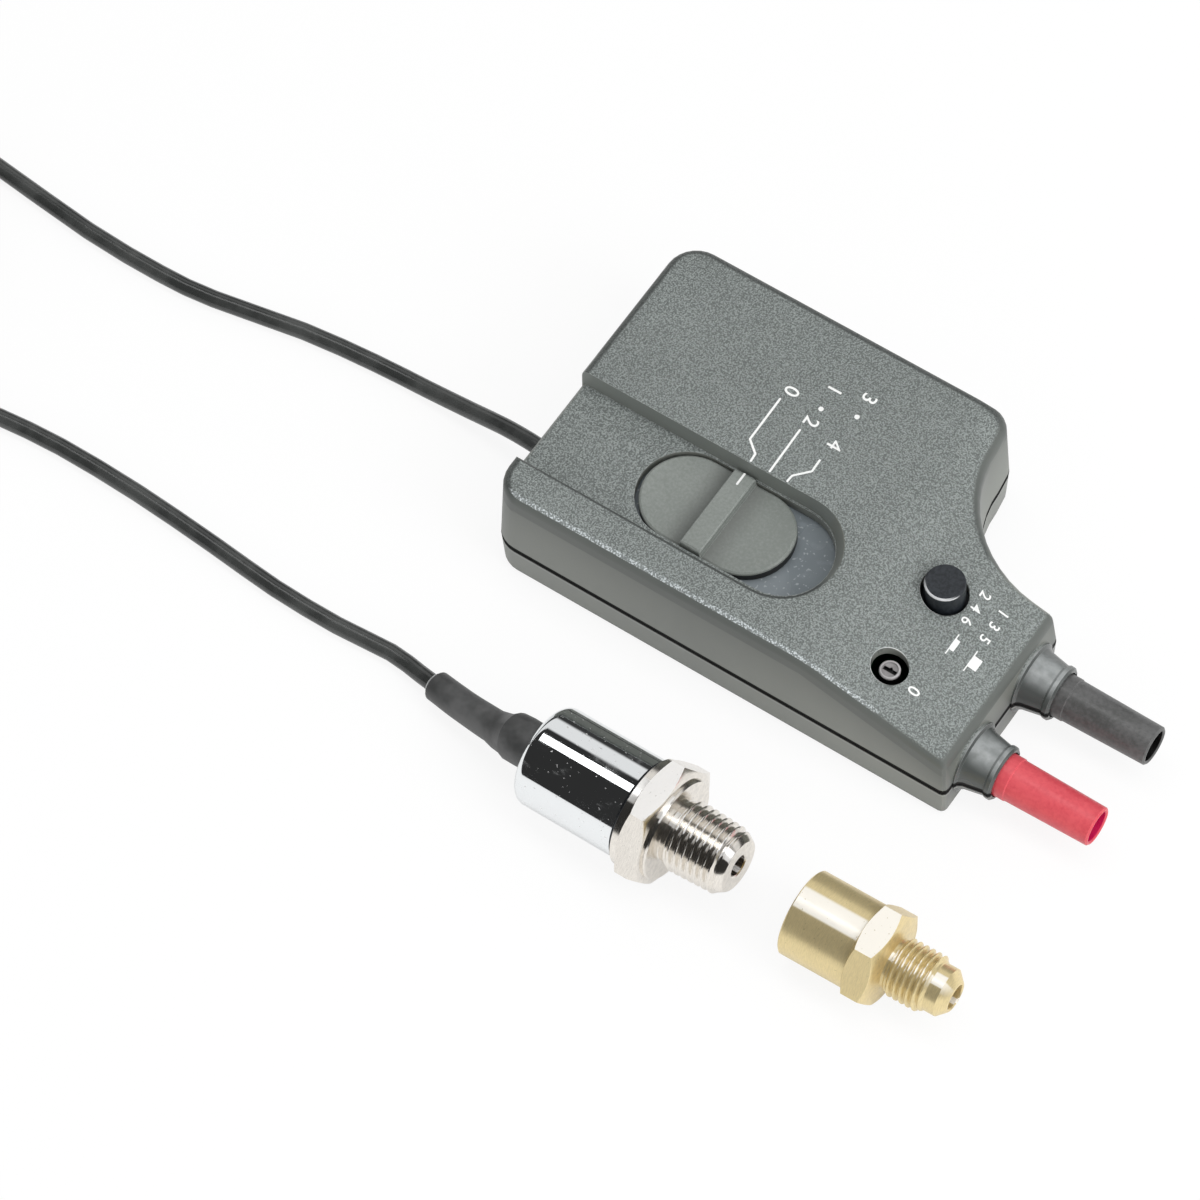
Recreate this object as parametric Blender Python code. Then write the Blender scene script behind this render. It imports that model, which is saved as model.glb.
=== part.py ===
"""Pressure and vacuum module for a hand-held meter, with its cable, transducer and brass flare adapter.

Metres. +X runs from the cable end to the plug end, +Y from the near side to the far side, +Z up.
The origin is in the housing's bottom face, and everything lies on the plane z = 0.
"""

import math

import bmesh
import bpy
from mathutils import Vector

# Fits
CLEARANCE = 0.0003

# Housing
HOUSING_LENGTH = 0.0971
HOUSING_WIDTH = 0.0644
HOUSING_HEIGHT = 0.0254
ORIGIN_FROM_CABLE_END = 0.0484
PARTING_HEIGHT = 0.0083
WALL = 0.0020
DRAFT = 0.035
END_CORNER = 0.0052
TOP_CORNER = 0.0066
EDGE_ROUND = 0.0018
FOOT_ROUND = 0.0010
NECK_LENGTH = 0.0254
NECK_WIDTH = 0.0377
SHOULDER_ROUND = 0.0040
SHOULDER_LEAN = 0.0004
SWEEP_RADIUS = 0.0196
NOSE_CORNER = 0.0012
NOSE_FLAT = 0.0038
NOSE_HEIGHT = 0.01696
SLOPE_LENGTH = 0.0307
SLOPE_BEND = 0.0070
LIP_HEIGHT = 0.0010
LIP_INSET = 0.00085

# Channel for the slide switch
CHANNEL_DEPTH = 0.0046
CHANNEL_FROM_NEAR_WALL = 0.02985
CHANNEL_WIDTH = 0.0193
CHANNEL_END_X = 0.0111
CHANNEL_LEAN = 25
CHANNEL_CREST_ROUND = 0.0009
CHANNEL_MOUTH_ROUND = 0.0012

# Slide switch
KNOB_LENGTH = 0.0304
KNOB_WIDTH = 0.0182
KNOB_X = -0.0122
KNOB_RIM = 0.0023
KNOB_DISH = 0.0007
KNOB_EDGE = 0.0005
BAR_WIDTH = 0.0043
BAR_RISE = 0.0010
SLIDE_PITCH = 0.00385
SLIDE_END_CLEARANCE = 0.0009
BED_THICKNESS = 0.0012
BED_LAP = 0.0038
BED_PIN_RADIUS = 0.0011
BED_PIN_SPREAD = 0.0040
STEM_LENGTH = 0.0050
STEM_WIDTH = 0.0060
FOOT_WIDTH = 0.0090
FOOT_THICKNESS = 0.0015
LEVER_SIZE = 0.0020
LEVER_ENGAGEMENT = 0.0017
SWITCH_LENGTH = 0.0200
SWITCH_WIDTH = 0.0080
SWITCH_HEADROOM = 0.0049

# Shrouded plugs
PLUG_PITCH = 0.01905
PLUGS_FROM_NEAR_WALL = 0.0188
PLUG_REACH = 0.0257
BOSS_REACH = 0.0066
BOSS_ROOT_RADIUS = 0.0058
BOSS_END_RADIUS = 0.0051
BOSS_FLARE = 0.0011
SHROUD_RADIUS = 0.0042
SHROUD_TIP_RADIUS = 0.0038
SHROUD_BORE = 0.0030
SHROUD_SOCKET = 0.0164
SHROUD_FLANGE = 0.0052
FLANGE_THICKNESS = 0.0015
PIN_RADIUS = 0.0020
PIN_RECESS = 0.0029
PIN_TAIL = 0.0019

# Push-button and zero adjuster
CONTROLS_FROM_PLUG_END = 0.0181
BUTTON_FROM_NEAR_WALL = 0.0281
BUTTON_RADIUS = 0.00375
BUTTON_HOLE = 0.0044
BUTTON_PROUD = 0.0035
BUTTON_TRAVEL = 0.0025
BUTTON_FLANGE = 0.0054
BUTTON_STEM = 0.0016
ZERO_FROM_NEAR_WALL = 0.0102
ZERO_HOLE = 0.0034
ZERO_RADIUS = 0.00195
ZERO_DEPTH = 0.0011
ZERO_RECESS = 0.0004
ZERO_SLOT = 0.0008
HOLE_RIM = 0.0003
CONTROL_BODY = 0.0070
CONTROL_BODY_HEIGHT = 0.0053

# Circuit board and its screws
BOARD_THICKNESS = 0.0016
BOARD_HEIGHT = 0.0043
BOARD_MARGIN = 0.0009
BOARD_END_MARGIN = 0.0102
BOARD_FROM_NEAR_WALL = 0.0316
BOARD_SCREW_RADIUS = 0.0010
STANDOFF_RADIUS = 0.0024

# Battery
BATTERY_LENGTH = 0.0485
BATTERY_SIDE_GAP = 0.0017
BATTERY_HEADROOM = 0.0056
BATTERY_ROUND = 0.0025
BATTERY_END_X = 0.0105
BATTERY_FROM_CHANNEL = 0.00435
TERMINAL_LENGTH = 0.0024
TERMINAL_PITCH = 0.0127
SNAP_WIDTH = 0.0120
FENCE_THICKNESS = 0.0012
FENCE_HEIGHT = 0.0100

# Case screws
CASE_SCREW_RADIUS = 0.0014
CASE_SCREW_HEAD = 0.0024
CASE_SCREW_HEAD_HEIGHT = 0.0018
CASE_SCREW_LENGTH = 0.0145
CASE_SCREW_SINK = 0.0004
POST_RADIUS = 0.0036
POST_MARGIN = 0.0061

# Cable
CABLE_RADIUS = 0.00165
CABLE_FROM_NEAR_WALL = 0.0202
GROMMET_RADIUS = 0.0030
GROMMET_FLANGE = 0.0037
GROMMET_FLANGE_THICKNESS = 0.0010
COIL_CENTRE = (-0.188, -0.042)
COIL_RADIUS = 0.0196
COIL_LAYERS = 3
COIL_BASE = 0.0011
TIE_THICKNESS = 0.0008
TIE_WIDTH = 0.0035
TIE_ANGLE = 0.0
TIE_SLACK = 0.0004

# Transducer
TRANSDUCER_PLACE = (0.0085, -0.0647)
TRANSDUCER_HEADING = -1.5
PORT_FLATS = 0.0220
PORT_HEX_LENGTH = 0.0048
PORT_COLLAR = 0.0105
PORT_COLLAR_LENGTH = 0.0016
PORT_SPIGOT_LENGTH = 0.0044
PORT_NECK = 0.0059
PORT_THREAD = 0.00685
PORT_THREAD_TIP = 0.0064
PORT_REACH = 0.0187
PORT_BORE = 0.0021
CAN_RADIUS = 0.0097
CAN_LENGTH = 0.0217
CAN_WALL = 0.0010
CAN_EDGE = 0.0020
CAN_HOLE = 0.0024
CELL_RADIUS = 0.0060
CELL_LENGTH = 0.0050
SENSOR_BOARD_THICKNESS = 0.0014
BOOT_LENGTH = 0.0251
BOOT_SIDE = 0.0034
BOOT_DROP = 0.0062
BOOT_TIP_RADIUS = 0.0029
BOOT_BULGE_RADIUS = 0.0046
BOOT_BULGE_LENGTH = 0.0050
BOOT_SOCKET = 0.0050

# Brass adapter
ADAPTER_PLACE = (0.0534, -0.0648)
ADAPTER_HEADING = 0.4
ADAPTER_FLATS = 0.0171
ADAPTER_HEX_LENGTH = 0.0051
BARREL_RADIUS = 0.0082
BARREL_LENGTH = 0.0133
SOCKET_MOUTH = 0.0066
SOCKET_DEPTH = 0.0115
FLARE_THREAD = 0.00555
FLARE_PILOT = 0.0046
FLARE_TIP = 0.0029
FLARE_BORE = 0.0024
FLARE_REACH = 0.0181
FLARE_THREAD_END = 0.0042

# Facets of round pieces
FINE = 32
MEDIUM = 24
COARSE = 16

CABLE_X = -ORIGIN_FROM_CABLE_END
PLUG_X = CABLE_X + HOUSING_LENGTH
NEAR_Y = -HOUSING_WIDTH / 2
FAR_Y = HOUSING_WIDTH / 2
NECK_Y = NEAR_Y + NECK_WIDTH
CHANNEL_FAR_Y = NEAR_Y + CHANNEL_FROM_NEAR_WALL
CABLE_Y = NEAR_Y + CABLE_FROM_NEAR_WALL
BUTTON_Y = NEAR_Y + BUTTON_FROM_NEAR_WALL
ZERO_Y = NEAR_Y + ZERO_FROM_NEAR_WALL
BOARD_FAR_Y = NEAR_Y + BOARD_FROM_NEAR_WALL
SHOULDER_X = PLUG_X - NECK_LENGTH
LOWER_RIM = PARTING_HEIGHT - CLEARANCE / 2
UPPER_RIM = PARTING_HEIGHT + CLEARANCE / 2
LIP_TOP = LOWER_RIM + LIP_HEIGHT
WALL_TOP_INSET = DRAFT * (HOUSING_HEIGHT - EDGE_ROUND - PARTING_HEIGHT)
TOP_INSET = WALL_TOP_INSET + EDGE_ROUND
CHANNEL_FLOOR = HOUSING_HEIGHT - CHANNEL_DEPTH
CREST_TURN = 90 - CHANNEL_LEAN
CREST_TANGENT = CHANNEL_CREST_ROUND * math.tan(math.radians(CREST_TURN / 2))
CHANNEL_SPREAD = CHANNEL_DEPTH * math.tan(math.radians(CHANNEL_LEAN)) + CREST_TANGENT
SLIDE_TRAVEL = 2 * SLIDE_PITCH
BED_TOP = CHANNEL_FLOOR - WALL - CLEARANCE
BED_BOTTOM = BED_TOP - BED_THICKNESS
KNOB_BOTTOM = BED_TOP + CLEARANCE
KNOB_Y = CHANNEL_FAR_Y - CHANNEL_WIDTH / 2
BOARD_TOP = BOARD_HEIGHT + BOARD_THICKNESS
PART_BOTTOM = BOARD_TOP + CLEARANCE
SWITCH_HEIGHT = BED_BOTTOM - PART_BOTTOM - SWITCH_HEADROOM
BATTERY_NEAR_Y = CHANNEL_FAR_Y + BATTERY_FROM_CHANNEL
BATTERY_WIDTH = FAR_Y - WALL - BATTERY_SIDE_GAP - BATTERY_NEAR_Y
BATTERY_HEIGHT = HOUSING_HEIGHT - BATTERY_HEADROOM - WALL - CLEARANCE
CONTROL_X = PLUG_X - CONTROLS_FROM_PLUG_END
PLUGS_Y = NEAR_Y + PLUGS_FROM_NEAR_WALL
SLOPE_X = PLUG_X - SLOPE_LENGTH
SLOPE_FALL = (HOUSING_HEIGHT - NOSE_HEIGHT) / SLOPE_LENGTH


def arc(centre, radius, start, end, steps):
    """Points of an arc in the plane, from one angle in degrees to another."""
    angles = [math.radians(start + (end - start) * k / steps) for k in range(steps + 1)]
    return [(centre[0] + radius * math.cos(a), centre[1] + radius * math.sin(a)) for a in angles]


def material(name, colour, roughness, metallic=0.0):
    made = bpy.data.materials.new(name)
    made.use_nodes = True
    shader = made.node_tree.nodes["Principled BSDF"]
    shader.inputs["Base Color"].default_value = (*colour, 1.0)
    shader.inputs["Roughness"].default_value = roughness
    shader.inputs["Metallic"].default_value = metallic
    made.diffuse_color = (*colour, 1.0)
    return made


def finished(bm, name, surface, location=(0, 0, 0), rotation=None, parent=None):
    """Turns a bmesh into a named object with its faces outward and its round sides shaded smooth."""
    bmesh.ops.recalc_face_normals(bm, faces=bm.faces)
    mesh = bpy.data.meshes.new(name)
    bm.to_mesh(mesh)
    bm.free()
    mesh.shade_smooth()
    mesh.set_sharp_from_angle(angle=math.radians(35))
    made = bpy.data.objects.new(name, mesh)
    bpy.context.scene.collection.objects.link(made)
    if surface is not None:
        mesh.materials.append(surface)
    made.location = location
    if rotation is not None:
        made.rotation_mode = "QUATERNION"
        made.rotation_quaternion = rotation
    made.parent = parent
    return made


def skinned(rings, paired_caps):
    """A closed body through rings of equal count. Paired caps join each point to its partner across."""
    bm = bmesh.new()
    loops = [[bm.verts.new(point) for point in ring] for ring in rings]
    count = len(loops[0])
    for low, high in zip(loops, loops[1:]):
        for i in range(count):
            j = (i + 1) % count
            bm.faces.new((low[i], low[j], high[j], high[i]))
    for loop in (loops[0], loops[-1]):
        if not paired_caps:
            bm.faces.new(loop)
            continue
        for i in range(count // 2 - 1):
            bm.faces.new((loop[i], loop[i + 1], loop[count - 2 - i], loop[count - 1 - i]))
    return bm


def revolved(profile, steps, turn=360):
    """Turns a closed section of (x, radius) points about the X axis."""
    bm = bmesh.new()
    corners = [bm.verts.new((x, 0, r)) for x, r in profile]
    pairs = zip(corners, corners[1:] + corners[:1])
    edges = [bm.edges.new(pair) for pair in pairs if max(pair[0].co.z, pair[1].co.z) > 0]
    bmesh.ops.spin(
        bm,
        geom=corners + edges,
        axis=(1, 0, 0),
        cent=(0, 0, 0),
        angle=math.radians(turn),
        steps=steps,
        use_merge=True,
    )
    bmesh.ops.remove_doubles(bm, verts=bm.verts, dist=1e-7)
    return bm


def along(direction):
    """The rotation that carries the X axis to a direction."""
    return Vector(direction).to_track_quat("X", "Z")


UP = along((0, 0, 1))
DOWN = along((0, 0, -1))


def turned(name, profile, steps, surface=None, location=(0, 0, 0), rotation=None, parent=None):
    return finished(revolved(profile, steps), name, surface, location, rotation, parent)


def rod(name, start, end, radius, steps, surface=None, location=(0, 0, 0), rotation=None, parent=None):
    profile = [(start, 0), (start, radius), (end, radius), (end, 0)]
    return turned(name, profile, steps, surface, location, rotation, parent)


def prism_mesh(outline, bottom, top):
    rings = [[(x, y, z) for x, y in outline] for z in (bottom, top)]
    return skinned(rings, False)


def prism(name, outline, bottom, top, surface=None, parent=None):
    return finished(prism_mesh(outline, bottom, top), name, surface, parent=parent)


def rectangle(low, high):
    return [(low[0], low[1]), (high[0], low[1]), (high[0], high[1]), (low[0], high[1])]


def block(name, low, high, surface=None, parent=None):
    return prism(name, rectangle(low, high), low[2], high[2], surface, parent)


def rounded(low, high, radius, steps):
    """A rectangle with round corners, in the plane."""
    x0, y0 = low
    x1, y1 = high
    points = arc((x1 - radius, y0 + radius), radius, -90, 0, steps)
    points += arc((x1 - radius, y1 - radius), radius, 0, 90, steps)
    points += arc((x0 + radius, y1 - radius), radius, 90, 180, steps)
    points += arc((x0 + radius, y0 + radius), radius, 180, 270, steps)
    return points


def stadium(x0, x1, centre_y, radius, steps):
    points = arc((x1 - radius, centre_y), radius, -90, 90, steps)
    points += arc((x0 + radius, centre_y), radius, 90, 270, steps)
    return points


def combine(target, tool, operation, solver="EXACT"):
    """Adds a Boolean with a hidden tool to the target."""
    tool.hide_render = True
    tool.display_type = "WIRE"
    change = target.modifiers.new(tool.name, "BOOLEAN")
    change.operation = operation
    change.solver = solver
    change.object = tool


def cut(target, tool, solver="EXACT"):
    combine(target, tool, "DIFFERENCE", solver)


def add(target, tool, solver="EXACT"):
    combine(target, tool, "UNION", solver)


def joined(name, parts):
    """Bodies that don't touch each other, as one tool."""
    bm = bmesh.new()
    for part in parts:
        part.data.transform(part.matrix_basis)
        bm.from_mesh(part.data)
        bpy.data.objects.remove(part)
    return finished(bm, name, None)


def group(name, location, rotation):
    made = bpy.data.objects.new(name, None)
    bpy.context.scene.collection.objects.link(made)
    made.rotation_mode = "QUATERNION"
    made.rotation_quaternion = rotation
    made.location = location
    return made


# The housing's outline


def roof(x):
    """Height of the top face: level, then a soft bend into the slope towards the plugs."""
    past = x - SLOPE_X
    half = SLOPE_BEND / 2
    if past <= -half:
        return HOUSING_HEIGHT
    if past < half:
        return HOUSING_HEIGHT - SLOPE_FALL * (past + half) ** 2 / (4 * half)
    return HOUSING_HEIGHT - SLOPE_FALL * past


CORNER_STEPS = 7
SHOULDER_STEPS = 6
SWEEP_STEPS = 12
NOSE_STEPS = 3


def sweep_radius():
    """The sweep's radius, limited by the neck's length and by the step from body to neck."""
    along_neck = NECK_LENGTH - SHOULDER_LEAN - NOSE_FLAT
    across_step = HOUSING_WIDTH - NECK_WIDTH - SHOULDER_ROUND - SHOULDER_LEAN
    return min(SWEEP_RADIUS, along_neck, across_step)


def side_stations():
    """Places along the far side that follow the roof's bend, short of the shoulder's round."""
    bend = SLOPE_X - SLOPE_BEND / 2
    places = sorted((CABLE_X / 2, 0.0, bend, bend + SLOPE_BEND / 6))
    limit = SHOULDER_X - SHOULDER_ROUND - 1.5 * WALL
    return [x for x in places if x <= limit]


def far_edge(inset, corner):
    """The far side, from the cable end's corner round the shoulder and down the sweep to the nose."""
    left = CABLE_X + inset
    right = PLUG_X - inset
    side = FAR_Y - inset
    shoulder = SHOULDER_X - inset
    radius = sweep_radius()
    sweep = (SHOULDER_X + SHOULDER_LEAN + radius, NECK_Y + radius)
    points = arc((left + corner, side - corner), corner, 180, 90, CORNER_STEPS)
    points += [(x, side) for x in side_stations()]
    points += arc((shoulder - SHOULDER_ROUND, side - SHOULDER_ROUND), SHOULDER_ROUND, 90, 0, SHOULDER_STEPS)
    points += arc(sweep, radius + inset, 180, 270, SWEEP_STEPS)
    nose = (right - NOSE_CORNER, NECK_Y - inset - NOSE_CORNER)
    return points + arc(nose, NOSE_CORNER, 90, 0, NOSE_STEPS)


def near_edge(inset, corner):
    """The straight near side, with a point abreast of each one on the far side of the top face."""
    left = CABLE_X + inset
    right = PLUG_X - inset
    side = NEAR_Y + inset
    middle = far_edge(TOP_INSET, TOP_CORNER - TOP_INSET)[CORNER_STEPS + 1 : -NOSE_STEPS - 1]
    points = arc((left + corner, side + corner), corner, 180, 270, CORNER_STEPS)
    points += [(x, side) for x, _ in middle]
    return points + arc((right - NOSE_CORNER, side + NOSE_CORNER), NOSE_CORNER, 270, 360, NOSE_STEPS)


def ring(inset, corner, height):
    """One loop round the housing. The height is a number, or a function of x."""
    level = height if callable(height) else lambda x: height
    points = far_edge(inset, corner) + near_edge(inset, corner)[::-1]
    return [(x, y, level(x)) for x, y in points]


def below_roof(drop):
    return lambda x: roof(x) - drop


def upper_rings():
    """From the inside of the roof down to the rim, over the lip's rebate and up the outside."""
    inner = WALL + WALL_TOP_INSET
    rings = [
        ring(inner + WALL / 2, TOP_CORNER - inner - WALL / 2, below_roof(WALL)),
        ring(inner, TOP_CORNER - inner, below_roof(1.5 * WALL)),
        ring(WALL, END_CORNER - WALL, LIP_TOP + CLEARANCE),
        ring(LIP_INSET, END_CORNER - LIP_INSET, LIP_TOP + CLEARANCE),
        ring(LIP_INSET, END_CORNER - LIP_INSET, UPPER_RIM),
        ring(0, END_CORNER, UPPER_RIM),
    ]
    steps = 4
    for k in range(steps + 1):
        angle = math.pi / 2 * k / steps
        inset = WALL_TOP_INSET + EDGE_ROUND * (1 - math.cos(angle))
        drop = EDGE_ROUND * (1 - math.sin(angle))
        rings.append(ring(inset, TOP_CORNER - inset, below_roof(drop)))
    return rings


def lower_rings():
    """From the inside floor up over the lip to the rim, and down the outside to the foot."""
    lip = LIP_INSET + CLEARANCE
    toe = DRAFT * PARTING_HEIGHT
    rings = [
        ring(1.5 * WALL, END_CORNER - 1.5 * WALL, WALL),
        ring(WALL + toe, END_CORNER - WALL - toe, 1.5 * WALL),
        ring(WALL, END_CORNER - WALL, LIP_TOP),
        ring(lip, END_CORNER - lip, LIP_TOP),
        ring(lip, END_CORNER - lip, LOWER_RIM),
        ring(0, END_CORNER, LOWER_RIM),
    ]
    steps = 3
    for k in range(steps + 1):
        angle = math.pi / 2 * k / steps
        inset = toe + FOOT_ROUND * (1 - math.cos(angle))
        rings.append(ring(inset, END_CORNER - inset, FOOT_ROUND * (1 - math.sin(angle))))
    return rings


# What is fused to both shells


def plug_places():
    return {
        "black": (PLUG_X, PLUGS_Y + PLUG_PITCH / 2, PARTING_HEIGHT),
        "red": (PLUG_X, PLUGS_Y - PLUG_PITCH / 2, PARTING_HEIGHT),
    }


def boss(name, place):
    """The drafted boss round a plug, with a flare at its root and a small lip at its mouth."""
    buried = 0.8 * LIP_INSET
    root = [
        (-buried, 0),
        (-buried, BOSS_ROOT_RADIUS + BOSS_FLARE),
        (0.2 * BOSS_FLARE, BOSS_ROOT_RADIUS + BOSS_FLARE),
        (0.5 * BOSS_FLARE, BOSS_ROOT_RADIUS + 0.4 * BOSS_FLARE),
        (1.2 * BOSS_FLARE, BOSS_ROOT_RADIUS),
    ]
    lip = 0.12 * BOSS_REACH
    mouth = [
        (BOSS_REACH - 2 * lip, BOSS_END_RADIUS),
        (BOSS_REACH - 1.4 * lip, BOSS_END_RADIUS + 0.3 * lip),
        (BOSS_REACH - 0.5 * lip, BOSS_END_RADIUS + 0.3 * lip),
        (BOSS_REACH, BOSS_END_RADIUS - 0.2 * lip),
        (BOSS_REACH, 0),
    ]
    return turned(name, root + mouth, MEDIUM, location=place)


def post_places():
    """The four case screws: three corners and the middle of the neck."""
    return [
        (CABLE_X + POST_MARGIN, NEAR_Y + POST_MARGIN),
        (CABLE_X + POST_MARGIN, FAR_Y - POST_MARGIN),
        (SHOULDER_X - 0.9 * POST_MARGIN, FAR_Y - POST_MARGIN),
        (PLUG_X - 1.5 * POST_MARGIN, PLUGS_Y),
    ]


def cable_bore():
    place = (CABLE_X, CABLE_Y, PARTING_HEIGHT)
    return rod("cable_bore", -2 * WALL, 2 * WALL, GROMMET_RADIUS + CLEARANCE, MEDIUM, location=place)


def plug_bores():
    return [
        rod("bore_" + key, -2 * WALL, 2 * BOSS_REACH, SHROUD_RADIUS + CLEARANCE, MEDIUM, location=place)
        for key, place in plug_places().items()
    ]


def upper_trim():
    """Takes away everything below the top shell's rim."""
    reach = HOUSING_LENGTH
    return block("upper_trim", (-reach, -reach, -WALL), (reach, reach, UPPER_RIM))


# The channel


def channel_ring(width, end, z):
    """One level of the channel: open at the cable end, a half circle at the other."""
    radius = width / 2
    centre = (end - radius, CHANNEL_FAR_Y - radius)
    round_end = arc(centre, radius, 90, -90, 16)
    mouth = CABLE_X - 2 * WALL
    loop = [(mouth, CHANNEL_FAR_Y), *round_end, (mouth, CHANNEL_FAR_Y - width)]
    return [(x, y, z) for x, y in loop]


def channel_cutter():
    """The near and end walls lean back and round over at the crest; the far wall stands upright."""
    crest = (CHANNEL_SPREAD, CHANNEL_DEPTH - CHANNEL_CREST_ROUND)
    section = [(0, 0), *arc(crest, CHANNEL_CREST_ROUND, 90 + CREST_TURN, 98, 4)]
    section += [(1.1 * CHANNEL_SPREAD, 1.01 * CHANNEL_DEPTH), (1.1 * CHANNEL_SPREAD, 1.2 * CHANNEL_DEPTH)]
    rings = []
    for spread, rise in section:
        rings.append(channel_ring(CHANNEL_WIDTH + spread, CHANNEL_END_X + spread, CHANNEL_FLOOR + rise))
    return finished(skinned(rings, False), "channel_cutter", None)


def mouth_cutter():
    """Rounds the floor's edge over at the open end."""
    face = CABLE_X + WALL_TOP_INSET
    r = CHANNEL_MOUTH_ROUND
    section = arc((face + r, CHANNEL_FLOOR - r), r, 90, 180, 4)
    outside = CABLE_X - WALL
    section += [(outside, CHANNEL_FLOOR - r), (outside, CHANNEL_FLOOR + r), (face + r, CHANNEL_FLOOR + r)]
    sides = (CHANNEL_FAR_Y, CHANNEL_FAR_Y - CHANNEL_WIDTH)
    return finished(skinned([[(x, y, z) for x, z in section] for y in sides], False), "mouth_cutter", None)


def tub():
    """The thickness of plastic under and round the channel."""
    shift = WALL / 2
    radius = (CHANNEL_WIDTH + CHANNEL_SPREAD) / 2 + shift
    centre = (CHANNEL_END_X + CHANNEL_SPREAD + shift - radius, CHANNEL_FAR_Y + shift - radius)
    outline = [(CABLE_X + WALL, centre[1] + radius), *arc(centre, radius, 90, -90, 16)]
    outline += [(CABLE_X + WALL, centre[1] - radius)]
    return prism("tub", outline, CHANNEL_FLOOR - WALL, HOUSING_HEIGHT - 0.7 * WALL)


def slide_opening():
    radius = KNOB_WIDTH / 2 + CLEARANCE / 2
    left = KNOB_X - KNOB_LENGTH / 2 - SLIDE_END_CLEARANCE
    right = KNOB_X + KNOB_LENGTH / 2 + SLIDE_TRAVEL + CLEARANCE
    return prism("slide_opening", stadium(left, right, KNOB_Y, radius, 16), BED_BOTTOM, CHANNEL_FLOOR + WALL)


def bed_pin_places():
    left = KNOB_X - KNOB_LENGTH / 2 - SLIDE_END_CLEARANCE - BED_LAP / 2
    right = CHANNEL_END_X + BED_PIN_RADIUS
    return [(x, KNOB_Y + side) for x in (left, right) for side in (-BED_PIN_SPREAD, BED_PIN_SPREAD)]


def hole_rims():
    """Square to the sloping roof, what rounds the edge of the button's and the adjuster's holes."""
    r = HOLE_RIM
    rims = []
    for radius, y in ((BUTTON_HOLE, BUTTON_Y), (ZERO_HOLE, ZERO_Y)):
        bend = arc((-r, radius + r), r, 270, 360, 4)
        inside = [(-2 * r, 0), (-2 * r, radius - r), (-1.2 * r, radius)]
        outside = [(r, radius + 2.2 * r), (r, 0)]
        place = (CONTROL_X, y, roof(CONTROL_X))
        turn = along((SLOPE_FALL, 0, 1))
        rims.append(turned("rim", inside + bend[1:] + outside, FINE, location=place, rotation=turn))
    return rims


# Shells


def top_shell(surface):
    """The upper half. Its faces twist slightly, so the changes after the first use the other solver."""
    shell = finished(skinned(upper_rings(), True), "top_shell", surface)
    add(shell, tub())
    fused = [boss("boss_" + key, place) for key, place in plug_places().items()]
    for x, y in post_places():
        radius = POST_RADIUS - 2 * CLEARANCE
        fused.append(rod("post", 0, roof(x) - 0.5 * WALL, radius, COARSE, location=(x, y, 0), rotation=UP))
    for x, y in bed_pin_places():
        low = BED_BOTTOM - CLEARANCE
        high = CHANNEL_FLOOR - WALL / 2
        fused.append(rod("pin", low, high, BED_PIN_RADIUS, 10, location=(x, y, 0), rotation=UP))
    for x in (BATTERY_END_X - 0.25 * BATTERY_LENGTH, BATTERY_END_X - 0.75 * BATTERY_LENGTH):
        low = WALL + 2 * CLEARANCE + BATTERY_HEIGHT
        near = BATTERY_NEAR_Y + BATTERY_ROUND
        far = near + BATTERY_WIDTH - 2 * BATTERY_ROUND
        rib = FENCE_THICKNESS / 2
        fused.append(block("rib", (x - rib, near, low), (x + rib, far, HOUSING_HEIGHT - WALL / 2)))
    add(shell, joined("upper_fused", fused), "MANIFOLD")
    cut(shell, channel_cutter(), "MANIFOLD")
    cut(shell, mouth_cutter(), "MANIFOLD")
    holes = [slide_opening(), cable_bore(), *plug_bores()]
    for radius, y in ((BUTTON_HOLE, BUTTON_Y), (ZERO_HOLE, ZERO_Y)):
        place = (CONTROL_X, y, 0)
        holes.append(rod("control_hole", 0, HOUSING_LENGTH, radius, FINE, location=place, rotation=UP))
    depth = CASE_SCREW_LENGTH + WALL / 2
    pilot = CASE_SCREW_RADIUS + CLEARANCE
    for x, y in post_places():
        holes.append(rod("pilot", -WALL, depth, pilot, 12, location=(x, y, 0), rotation=UP))
    cut(shell, joined("upper_holes", holes), "MANIFOLD")
    cut(shell, joined("hole_rims", hole_rims()), "MANIFOLD")
    cut(shell, upper_trim(), "MANIFOLD")
    return shell


def standoff_places():
    return [
        (CABLE_X + BOARD_END_MARGIN + 1.5 * STANDOFF_RADIUS, NEAR_Y + WALL + 1.6 * STANDOFF_RADIUS),
        (SHOULDER_X - STANDOFF_RADIUS, BOARD_FAR_Y - 1.5 * STANDOFF_RADIUS),
    ]


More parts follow.
